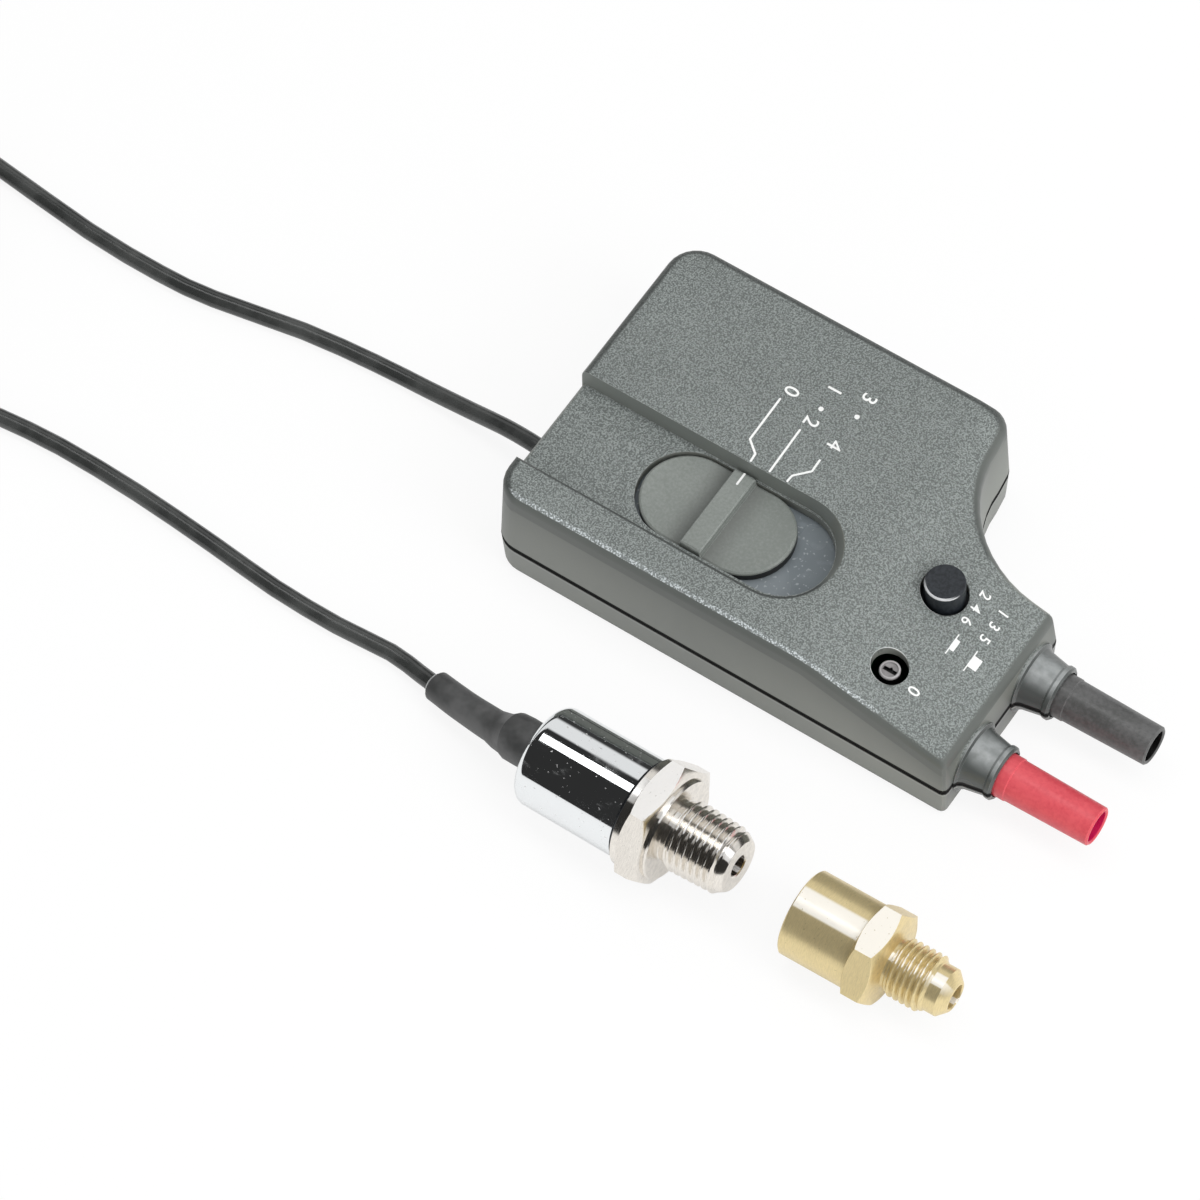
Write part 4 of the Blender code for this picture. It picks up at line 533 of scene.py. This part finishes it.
NODE_LOOKS = {
    "top_shell": "housing",
    "bottom_shell": "housing",
    "slide_bed": "bed",
    "slide_knob": "slider",
    "push_button": "button",
    "zero_rotor": "rotor",
    "plug_shroud_black": "shroud_black",
    "plug_shroud_red": "shroud_red",
    "cable_header": "white",
    "circuit_board": "board",
    "sensor_board": "board",
    "cable_grommet": "rubber",
    "heat_shrink_boot": "rubber",
    "plug_pin_black": "nickel",
    "plug_pin_red": "nickel",
    "sensor_cell": "steel",
    "battery": "steel",
}


# Shading of the CAD nodes

WELD_REACH = 0.002 * MM
SHARP_EDGE = math.radians(26)


def smoothing_group():
    """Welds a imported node's corners and shades it smooth between its sharp edges."""
    group = bpy.data.node_groups.new("smooth_between_edges", "GeometryNodeTree")
    group.interface.new_socket("Geometry", in_out="INPUT", socket_type="NodeSocketGeometry")
    group.interface.new_socket("Geometry", in_out="OUTPUT", socket_type="NodeSocketGeometry")
    new = group.nodes.new
    start = new("NodeGroupInput")
    weld = new("GeometryNodeMergeByDistance")
    weld.inputs["Distance"].default_value = WELD_REACH
    drop = new("GeometryNodeRemoveAttribute")
    drop.inputs["Name"].default_value = "custom_normal"
    smooth = new("GeometryNodeSetShadeSmooth")
    smooth.domain = "FACE"
    smooth.inputs["Shade Smooth"].default_value = True
    angle = new("GeometryNodeInputMeshEdgeAngle")
    sharp = new("FunctionNodeCompare")
    sharp.data_type = "FLOAT"
    sharp.operation = "GREATER_THAN"
    sharp.inputs["B"].default_value = SHARP_EDGE
    edges = new("GeometryNodeSetShadeSmooth")
    edges.domain = "EDGE"
    edges.inputs["Shade Smooth"].default_value = False
    end = new("NodeGroupOutput")
    link = group.links.new
    link(start.outputs[0], weld.inputs["Geometry"])
    link(weld.outputs[0], drop.inputs["Geometry"])
    link(drop.outputs[0], smooth.inputs["Geometry"])
    link(smooth.outputs[0], edges.inputs["Geometry"])
    link(angle.outputs["Unsigned Angle"], sharp.inputs["A"])
    link(sharp.outputs["Result"], edges.inputs["Selection"])
    link(edges.outputs[0], end.inputs[0])
    return group


def dress_nodes():
    """Gives every CAD node its material and smooth shading; pieces without a key are black plastic."""
    group = smoothing_group()
    for name, node in nodes.items():
        key = NODE_LOOKS.get(name, "black")
        if "screw" in name:
            key = "steel"
        node.data.materials.clear()
        node.data.materials.append(LOOKS[key].material)
        node.modifiers.new("smoothing", "NODES").node_group = group


dress_nodes()


# Pieces


def piece(name, data, look, body="case"):
    """A new piece of one look that rides a body."""
    made = bpy.data.objects.new(name, data)
    scene.collection.objects.link(made)
    data.materials.append(LOOKS[look].material)
    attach(made, body)
    return made


# Cable

CABLE_RADIUS = 1.65 * MM
COIL = Vector((-0.188, -0.042, 0))
COIL_INNER = 17.95 * MM
COIL_OUTER = 21.25 * MM
LAYERS = (2.75 * MM, 6.05 * MM, 9.35 * MM)
BOOT_TIP = Vector((-40.45, -60.68, 3.37)) * MM
BOOT_WAY = Vector((7.03, -1.46, 1.74)).normalized()
FLOOR_GAP = 0.03 * MM


def about_coil(angle, radius, z):
    """Point at an angle in degrees about the coil's middle."""
    turn = math.radians(angle)
    return COIL + Vector((radius * math.cos(turn), radius * math.sin(turn), z))


def eased(t):
    """Share that starts and ends gently."""
    return t * t * (3 - 2 * t)


def coil_points():
    """Five and a quarter turns, each slot reached by a short slide at the end of a turn."""
    slots = [
        (COIL_OUTER, LAYERS[0]),
        (COIL_INNER, LAYERS[0]),
        (COIL_INNER, LAYERS[1]),
        (COIL_OUTER, LAYERS[1]),
        (COIL_OUTER, LAYERS[2]),
    ]
    points = []
    for (radius, z), (next_radius, next_z) in zip(slots, slots[1:] + slots[-1:]):
        for k in range(0, 360, 12):
            share = eased(max(0.0, (k - 312) / 48))
            wide = radius + share * (next_radius - radius)
            points.append(about_coil(180 + k, wide, z + share * (next_z - z)))
    for k in range(0, 91, 10):
        out = eased(min(1.0, k / 46)) ** 1.3
        down = eased(max(0.0, (k - 38) / 52))
        wide = COIL_OUTER + 2 * out * CABLE_RADIUS
        points.append(about_coil(180 + k, wide, LAYERS[2] + down * (CABLE_RADIUS - LAYERS[2])))
    return points


def cable_route():
    """Points from the header to the coil, round the coil, and from the coil into the boot."""
    ground = CABLE_RADIUS + 0.05 * MM
    start = [
        (-0.0383, -0.0120, 0.0083),
        (-0.0440, -0.0120, 0.0083),
        (-0.0495, -0.0120, 0.0083),
        (-0.0540, -0.0116, 0.0080),
        (-0.0600, -0.0108, 0.0064),
        (-0.0680, -0.0101, 0.0039),
        (-0.0780, -0.0098, 0.0021),
        (-0.0898, -0.0102, ground),
        (-0.1049, -0.0117, ground),
        (-0.1231, -0.0150, ground),
        (-0.1347, -0.0159, ground),
        (-0.1518, -0.0155, ground),
        (-0.1744, -0.0132, ground),
        (-0.1860, -0.0126, ground),
        about_coil(110, 28.1 * MM, ground),
        about_coil(130, 26.2 * MM, ground),
        about_coil(150, 24.0 * MM, ground + 0.3 * MM),
        about_coil(165, 22.3 * MM, ground + 0.8 * MM),
    ]
    end = [
        (-0.1750, -0.0662, ground),
        (-0.1600, -0.0620, ground),
        (-0.1500, -0.0588, ground),
        (-0.1412, -0.0574, ground),
        (-0.1279, -0.0564, ground),
        (-0.1102, -0.0567, ground),
        (-0.0920, -0.0580, ground),
        (-0.0774, -0.0593, ground),
        (-0.0635, -0.0595, ground),
        (-0.0520, -0.0588, 0.0018),
        tuple(BOOT_TIP - 4.5 * MM * BOOT_WAY),
        tuple(BOOT_TIP + 4.4 * MM * BOOT_WAY),
    ]
    return [Vector(p) for p in start], coil_points(), [Vector(p) for p in end]


def smoothed(points, count):
    """A Catmull-Rom curve through the points, with a few more between them."""
    ends = [2 * points[0] - points[1], *points, 2 * points[-1] - points[-2]]
    out = []
    for a, b, c, d in zip(ends, ends[1:], ends[2:], ends[3:]):
        for k in range(count):
            t = k / count
            square = 2 * a - 5 * b + 4 * c - d
            cube = 3 * b - a - 3 * c + d
            out.append(0.5 * (2 * b + (c - a) * t + square * t**2 + cube * t**3))
    return out + [points[-1]]


def sensor_cable():
    """The one cord, as a round curve through its route."""
    start, coil, end = cable_route()
    points = smoothed(start + coil + end, 2)
    curve = bpy.data.curves.new("sensor_cable", "CURVE")
    curve.dimensions = "3D"
    curve.bevel_depth = CABLE_RADIUS
    curve.bevel_resolution = 5
    curve.use_fill_caps = True
    spline = curve.splines.new("POLY")
    spline.points.add(len(points) - 1)
    for knot, point in zip(spline.points, points):
        knot.co = (*point, 1)
    spline.use_smooth = True
    made = piece("sensor_cable", curve, "cable")
    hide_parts("cable_to_coil", "cable_coil", "cable_to_transducer")


sensor_cable()


# Turned pieces of the transducer and the adapter


def turned_rows(rows, steps):
    """A closed surface from rows of (x, radius function or number), each turned about X."""
    bm = bmesh.new()
    loops = []
    for x, radius in rows:
        loop = []
        for k in range(steps):
            a = 2 * math.pi * k / steps
            r = radius(a) if callable(radius) else radius
            loop.append(bm.verts.new((x(a) if callable(x) else x, r * math.cos(a), r * math.sin(a))))
        loops.append(loop)
    loops.append(loops[0])
    for low, high in zip(loops, loops[1:]):
        for k in range(steps):
            j = (k + 1) % steps
            bm.faces.new((low[k], high[k], high[j], low[j]))
    bmesh.ops.recalc_face_normals(bm, faces=bm.faces)
    return bm


def to_mesh(bm, name, angle=30):
    """A smooth mesh, with the edges above an angle in degrees kept sharp."""
    mesh = bpy.data.meshes.new(name)
    bm.to_mesh(mesh)
    bm.free()
    mesh.shade_smooth()
    mesh.set_sharp_from_angle(angle=math.radians(angle))
    return mesh


def axis_matrix(centre, heading, tilt):
    """Frame of a turned piece that lies on the floor, leaning because its hexagon is its widest part."""
    turn = Matrix.Rotation(math.radians(heading), 4, "Z") @ Matrix.Rotation(-tilt, 4, "Y")
    return Matrix.Translation(centre) @ turn


# The port's frame has its origin at the hexagon's rear face and X along the thread
PORT_FLATS = 22.0 * MM
PORT_HEX = 4.8 * MM
PORT_COLLAR = 10.5 * MM
PORT_PITCH = 1.41 * MM
PORT_DEPTH = 0.78 * MM
PORT_HEADING = -1.5
CAN_RADIUS = 9.7 * MM
CAN_END = -23.6 * MM
CAN_EDGE = 2.0 * MM
PORT_TILT = math.atan2(PORT_FLATS / 2 - CAN_RADIUS, -CAN_EDGE - CAN_END)
PORT_RISE = PORT_FLATS / 2 * math.cos(PORT_TILT) + FLOOR_GAP
PORT = axis_matrix((8.5 * MM, -64.7 * MM, PORT_RISE), PORT_HEADING, PORT_TILT)

# The adapter's frame is laid out the same way
ADAPTER_FLATS = 17.1 * MM
ADAPTER_HEX = 5.1 * MM
ADAPTER_BARREL = 8.2 * MM
ADAPTER_END = -13.3 * MM
ADAPTER_PITCH = 1.27 * MM
ADAPTER_DEPTH = 0.72 * MM
ADAPTER_HEADING = 0.4
ADAPTER_TILT = math.atan2(ADAPTER_FLATS / 2 - ADAPTER_BARREL, -ADAPTER_END)
ADAPTER_RISE = ADAPTER_FLATS / 2 * math.cos(ADAPTER_TILT) + FLOOR_GAP
ADAPTER = axis_matrix((53.4 * MM, -64.8 * MM, ADAPTER_RISE), ADAPTER_HEADING, ADAPTER_TILT)

TURNED_STEPS = 144
CAN_STEPS = 160


def local_flat(a):
    """Angle from the middle of the nearest flat, one of which looks down."""
    return (a - math.pi / 2 + math.pi / 6) % (math.pi / 3) - math.pi / 6


def hexagon(flats):
    """Radius of a hexagon at an angle about X."""
    return lambda a: flats / 2 / math.cos(local_flat(a))


def chamfered(flats, face, x, inward):
    """Where the chamfer's cone meets the hexagon at each angle: an x for that angle."""
    slope = math.tan(math.radians(30))

    def at(a):
        reach = flats / 2 / math.cos(local_flat(a))
        return x + inward * max(0.0, reach - face) * slope

    return at


def hex_rows(flats, start, length):
    """Outer rows of a hexagon whose two ends are chamfered."""
    face = 0.98 * flats / 2
    full = hexagon(flats)
    return [
        (start, face),
        (chamfered(flats, face, start, 1), full),
        (chamfered(flats, face, start + length, -1), full),
        (start + length, face),
    ]


def thread_rows(start, end, big, big_end, pitch, depth):
    """Rows of a right-hand thread whose ridges fade in and out at its ends."""
    rows = []
    count = max(2, round((end - start) / pitch * 12))
    for i in range(count + 1):
        x = start + (end - start) * i / count

        def radius(a, x=x):
            crest = big + (big_end - big) * (x - start) / (end - start)
            phase = ((x - start) / pitch - a / (2 * math.pi)) % 1.0
            ridge = 1 - abs(2 * phase - 1)
            shape = min(1.0, max(0.0, (ridge - 0.10) / 0.74))
            fade = min(1.0, (x - start) / (0.6 * pitch), (end - x) / (0.5 * pitch))
            return crest - depth * (1 - shape * max(0.0, fade))

        rows.append((x, radius))
    return rows


def port_mesh():
    """Collar inside the can, hexagon, washer and tapered thread, round one bore."""
    washer = PORT_HEX + 0.8 * MM
    thread_end = 17.5 * MM
    rows = [
        (-6.0 * MM, 2.1 * MM),
        (-6.0 * MM, 8.4 * MM),
        (-1.6 * MM, 8.4 * MM),
        (-1.6 * MM, PORT_COLLAR - 0.2 * MM),
        (-1.4 * MM, PORT_COLLAR),
        (-0.01 * MM, PORT_COLLAR),
    ]
    rows += hex_rows(PORT_FLATS, 0, PORT_HEX)
    rows += [
        (PORT_HEX + 0.01 * MM, 0.94 * PORT_COLLAR),
        (washer - 0.3 * MM, 0.94 * PORT_COLLAR),
        (washer, 0.92 * PORT_COLLAR),
        (washer, 6.1 * MM),
        (washer + 0.15 * MM, 5.9 * MM),
        (washer + 0.9 * MM, 5.9 * MM),
    ]
    rows += thread_rows(washer + 1.0 * MM, thread_end, 6.85 * MM, 6.4 * MM, PORT_PITCH, PORT_DEPTH)
    rows += [
        (17.6 * MM, 5.75 * MM),
        (18.45 * MM, 5.25 * MM),
        (18.7 * MM, 5.0 * MM),
        (18.7 * MM, 2.35 * MM),
        (18.5 * MM, 2.1 * MM),
    ]
    mesh = to_mesh(turned_rows(rows, TURNED_STEPS), "threaded_port")
    # Painted shade: faces inside the can take the second material, black plastic.
    for face in mesh.polygons:
        face.material_index = int(face.center.x < -0.9 * MM)
    return mesh


def adapter_mesh():
    """Barrel with its socket, hexagon, and a straight thread that ends in the flare's cone."""
    thread_end = 13.9 * MM
    crest = 5.55 * MM
    rows = [
        (-1.8 * MM, 2.4 * MM),
        (-1.8 * MM, 5.8 * MM),
        (ADAPTER_END + 0.2 * MM, 6.6 * MM),
        (ADAPTER_END, 6.8 * MM),
        (ADAPTER_END, ADAPTER_BARREL - 0.35 * MM),
        (ADAPTER_END + 0.3 * MM, ADAPTER_BARREL),
        (-0.01 * MM, ADAPTER_BARREL),
    ]
    rows += hex_rows(ADAPTER_FLATS, 0, ADAPTER_HEX)
    rows += [
        (ADAPTER_HEX + 0.01 * MM, 6.6 * MM),
        (ADAPTER_HEX + 0.25 * MM, 5.2 * MM),
        (ADAPTER_HEX + 0.5 * MM, 4.7 * MM),
        (ADAPTER_HEX + 1.0 * MM, 4.6 * MM),
    ]
    rows += thread_rows(ADAPTER_HEX + 1.1 * MM, thread_end, crest, crest, ADAPTER_PITCH, ADAPTER_DEPTH)
    rows += [
        (14.1 * MM, 4.6 * MM),
        (14.3 * MM, 4.6 * MM),
        (16.4 * MM, 4.6 * MM),
        (18.0 * MM, 3.0 * MM),
        (18.1 * MM, 2.8 * MM),
        (18.1 * MM, 2.55 * MM),
        (17.9 * MM, 2.4 * MM),
    ]
    return to_mesh(turned_rows(rows, TURNED_STEPS), "flare_fitting")


def can_mesh():
    """Thin polished can, open towards the port, with a rounded rear edge."""
    inner = CAN_RADIUS - 1.0 * MM
    rows = [(CAN_END, 2.4 * MM)]
    for k in range(13):
        a = math.pi / 2 * k / 12
        out = CAN_EDGE * math.sin(a)
        rows.append((CAN_END + CAN_EDGE - CAN_EDGE * math.cos(a), CAN_RADIUS - CAN_EDGE + out))
    rows += [
        (-2.15 * MM, CAN_RADIUS),
        (-1.95 * MM, CAN_RADIUS - 0.2 * MM),
        (-1.9 * MM, inner),
        (CAN_END + 2.2 * MM, inner),
        (CAN_END + 1.2 * MM, inner - 1.0 * MM),
        (CAN_END + 1.2 * MM, 2.4 * MM),
    ]
    return to_mesh(turned_rows(rows, CAN_STEPS), "can_shell", 40)


def glue_ring():
    """Set glue between the boot's tip and the cable."""
    rows = [(0.15, 1.60), (-0.80, 1.68), (-0.95, 1.95), (-0.75, 2.25), (0.15, 2.75)]
    ring = to_mesh(turned_rows([(x * MM, radius * MM) for x, radius in rows], 48), "glue_ring", 60)
    turn = BOOT_WAY.to_track_quat("X", "Z").to_matrix().to_4x4()
    ring.transform(Matrix.Translation(BOOT_TIP) @ turn)
    piece("glue_ring", ring, "glue")


def fittings():
    """Places the port, the can and the adapter; the port's faces inside the can are black, painted shade in
    the gap between the can and the hexagon.
    """
    port = port_mesh()
    port.transform(PORT)
    made = piece("threaded_port", port, "nickel")
    # The second material, black plastic, is painted shade for the port's faces inside the can.
    port.materials.append(LOOKS["black"].material)
    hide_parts("pressure_port")
    can = can_mesh()
    can.transform(PORT)
    made = piece("can_shell", can, "polished")
    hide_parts("transducer_can")
    adapter = adapter_mesh()
    adapter.transform(ADAPTER)
    made = piece("flare_fitting", adapter, "brass")
    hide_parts("brass_adapter")


fittings()
glue_ring()


# Markings

BEND = 3.5 * MM
INK = 0.03 * MM
LINE_SINK = 0.005 * MM
LEADER_WIDTH = 0.42 * MM
DOT_WIDTH = 1.0 * MM
BASE_WIDTH = 0.34 * MM
JOINT_SIDES = 12


def roof(x):
    """Height of the housing's top at an x: level, then a bend, then the slope."""
    past = x - SLOPE_START
    if past <= -BEND:
        return TOP
    if past < BEND:
        return TOP - SLOPE_FALL * (past + BEND) ** 2 / (4 * BEND)
    return TOP - SLOPE_FALL * past


def printed(x, y, height=None, lift=INK):
    """Where ink lies at an x and y in millimetres, on the housing's top or at a given height."""
    level = roof(x * MM) if height is None else height
    return Vector((x * MM, y * MM, level + lift))


def around(angle, radius):
    return Vector((radius * math.cos(angle), radius * math.sin(angle), 0))


def ink_mesh(bm, name):
    """A flat mesh whose faces all look up."""
    bm.normal_update()
    for face in bm.faces:
        if face.normal.z < 0:
            face.normal_flip()
    mesh = bpy.data.meshes.new(name)
    bm.to_mesh(mesh)
    bm.free()
    return mesh


def strokes(name, lines, width, body="case", height=None):
    """Flat printed lines of even width with round joints, given in millimetres."""
    bm = bmesh.new()
    for line in lines:
        for x, y in line:
            joint = printed(x, y, height)
            angles = [2 * math.pi * k / JOINT_SIDES for k in range(JOINT_SIDES)]
            bm.faces.new([bm.verts.new(joint + around(a, width / 2)) for a in angles])
        for start, stop in zip(line, line[1:]):
            start = printed(*start, height, INK - LINE_SINK)
            stop = printed(*stop, height, INK - LINE_SINK)
            side = Vector((start.y - stop.y, stop.x - start.x, 0)).normalized() * width / 2
            corners = (start + side, start - side, stop - side, stop + side)
            bm.faces.new([bm.verts.new(corner) for corner in corners])
    piece(name, ink_mesh(bm, name), "ink", body)


def lettering(name, words, x, y, size):
    """Generic lettering that reads along -Y, its tops towards the plug end."""
    text = bpy.data.curves.new(name, "FONT")
    text.body = words
    text.size = size * MM
    text.extrude = 0.004 * MM
    text.offset = 0.03 * MM
    text.align_x = "CENTER"
    made = bpy.data.objects.new(name, text)
    scene.collection.objects.link(made)
    text.materials.append(LOOKS["ink"].material)
    fall = roof((x - 0.5) * MM) - roof((x + 0.5) * MM)
    turn = Matrix.Rotation(math.atan2(fall, 1.0 * MM), 4, "Y") @ Matrix.Rotation(-math.pi / 2, 4, "Z")
    made.matrix_world = Matrix.Translation(printed(x, y)) @ turn
    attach(made, "case")


def plate(name, corners):
    """A printed patch on the housing's top."""
    bm = bmesh.new()
    bm.faces.new([bm.verts.new(printed(x, y)) for x, y in corners])
    piece(name, ink_mesh(bm, name), "ink")


def pictogram(name, x, y, length, rise):
    """Side view of a push-button: a base line with the cap standing from it towards the plugs."""
    strokes(name + "_base", [[(x, y - length / 2), (x, y + length / 2)]], BASE_WIDTH)
    low, high = y - 0.26 * length, y + 0.30 * length
    tip = x + BASE_WIDTH / 2 / MM + rise
    plate(name + "_cap", [(x, low), (x, high), (tip, high), (tip, low)])


def markings():
    """The printing on the housing and the index line on the knob, placed in millimetres."""
    leaders = [
        [(-11.75, -1.9), (-11.87, -0.27), (-14.38, 1.82), (-14.47, 11.72)],
        [(-7.73, -1.9), (-7.93, 8.22)],
        [(-3.99, -1.9), (-3.89, -0.48), (-1.43, 2.19), (-1.51, 4.83)],
    ]
    strokes("switch_leaders", leaders, LEADER_WIDTH)
    strokes("mode_dots", [[(-7.17, 13.94)], [(-0.86, 16.02)]], DOT_WIDTH)
    lettering("label_off", "0", -14.9, 14.2, 4.0)
    lettering("label_1", "1", -8.6, 18.6, 4.0)
    lettering("label_2", "2", -8.5, 10.7, 4.0)
    lettering("label_3", "3", -2.4, 20.4, 4.0)
    lettering("label_4", "4", -2.3, 8.9, 4.0)
    lettering("label_in", "2  4  6", 35.6, -3.2, 2.9)
    lettering("label_out", "1  3  5", 39.9, -4.0, 2.9)
    lettering("label_zero", "0", 35.3, -23.2, 3.2)
    pictogram("picture_in", 36.8, -11.5, 4.3, 0.78)
    pictogram("picture_out", 41.0, -12.1, 4.4, 1.60)
    strokes("slider_index", [[(-12.3, -3.2), (-12.3, -5.6)]], LEADER_WIDTH, "slide", KNOB_TOP)


markings()


# Floor, light and surroundings

FLOOR_REACH = 6.0
FLOOR_Z = -0.2 * MM
CAMERA_SHARE = 0.88
GLOSSY_SHARE = 0.45
EVEN_LEVEL = 0.50
PALE_BAND = 0.85
DARK_BAND = 0.03
LOW_SHARE = 0.05
LAMP_AIM = Vector((0, -30.0 * MM, 0))


def floor():
    """Pale plane: white to the camera, half as bright in metal, with the object's shadow kept."""
    bm = bmesh.new()
    corners = ((-1, -1), (1, -1), (1, 1), (-1, 1))
    bm.faces.new([bm.verts.new((x * FLOOR_REACH, y * FLOOR_REACH, FLOOR_Z)) for x, y in corners])
    mesh = bpy.data.meshes.new("floor")
    bm.to_mesh(mesh)
    bm.free()
    made = bpy.data.objects.new("floor", mesh)
    scene.collection.objects.link(made)
    look = Look("floor_white", rough=0.9)
    look.shader.inputs["Base Color"].default_value = (0.95, 0.95, 0.95, 1)
    look.shader.inputs["Specular IOR Level"].default_value = 0.0
    rays = look.node("ShaderNodeLightPath").outputs
    seen = look.times(rays["Is Camera Ray"], CAMERA_SHARE)
    glow = look.node("ShaderNodeEmission")
    glow.inputs["Strength"].default_value = 1.0
    mix = look.node("ShaderNodeMixShader")
    look.link(look.plus(seen, look.times(rays["Is Glossy Ray"], GLOSSY_SHARE)), mix.inputs[0])
    look.link(look.shader.outputs[0], mix.inputs[1])
    look.link(glow.outputs[0], mix.inputs[2])
    look.link(mix.outputs[0], look.tree.nodes["Material Output"].inputs["Surface"])
    mesh.materials.append(look.material)


def surroundings():
    """White to the camera, even to matt surfaces, and a studio of pale and dark bands to gloss."""
    world = bpy.data.worlds.new("studio")
    scene.world = world
    world.use_nodes = True
    tree = world.node_tree
    tree.nodes.clear()
    new = tree.nodes.new
    link = tree.links.new
    where = new("ShaderNodeTexCoord")
    parts = new("ShaderNodeSeparateXYZ")
    link(where.outputs["Generated"], parts.inputs[0])
    lean = new("ShaderNodeMath")
    lean.operation = "ARCTAN2"
    link(parts.outputs["Y"], lean.inputs[0])
    link(parts.outputs["Z"], lean.inputs[1])

    def banded(start, end, before, after):
        made = new("ShaderNodeMapRange")
        made.interpolation_type = "SMOOTHSTEP"
        link(lean.outputs[0], made.inputs["Value"])
        for key, number in zip(RANGE_KEYS, (math.radians(start), math.radians(end), before, after)):
            made.inputs[key].default_value = number
        return made.outputs["Result"]

    both = new("ShaderNodeMath")
    both.operation = "MULTIPLY"
    link(banded(27, 33, DARK_BAND, PALE_BAND), both.inputs[0])
    link(banded(60, 68, 1.0, LOW_SHARE), both.inputs[1])
    path = new("ShaderNodeLightPath")

    def background(level):
        made = new("ShaderNodeBackground")
        made.inputs["Color"].default_value = (1, 1, 1, 1)
        if isinstance(level, float):
            made.inputs["Strength"].default_value = level
        else:
            link(level, made.inputs["Strength"])
        return made.outputs[0]

    def chosen(ray, otherwise, shown):
        made = new("ShaderNodeMixShader")
        link(path.outputs[ray], made.inputs[0])
        link(otherwise, made.inputs[1])
        link(shown, made.inputs[2])
        return made.outputs[0]

    glossy = chosen("Is Diffuse Ray", background(both.outputs[0]), background(EVEN_LEVEL))
    link(chosen("Is Camera Ray", glossy, background(1.0)), new("ShaderNodeOutputWorld").inputs["Surface"])


def lamp(name, direction, distance, size, power, mirrored=True):
    """A soft rectangular lamp that faces the object from a direction."""
    data = bpy.data.lights.new(name, "AREA")
    data.shape = "RECTANGLE"
    data.size, data.size_y = size
    data.energy = power
    made = bpy.data.objects.new(name, data)
    scene.collection.objects.link(made)
    way = Vector(direction).normalized()
    made.location = LAMP_AIM + distance * way
    right = Vector((1, 0, 0))
    right = (right - right.dot(way) * way).normalized()
    up = way.cross(right)
    made.rotation_mode = "QUATERNION"
    made.rotation_quaternion = Matrix((right, up, way)).transposed().to_quaternion()
    made.visible_glossy = mirrored


floor()
surroundings()
lamp("softbox", (0.22, 0.075, 1.0), 1.05, (1.9, 0.37), 6.0)
lamp("key", (0.87, -0.10, 0.55), 1.2, (0.6, 0.6), 5.2, False)
lamp("fill", (0.15, -0.90, 0.32), 1.2, (0.9, 0.5), 1.5, False)
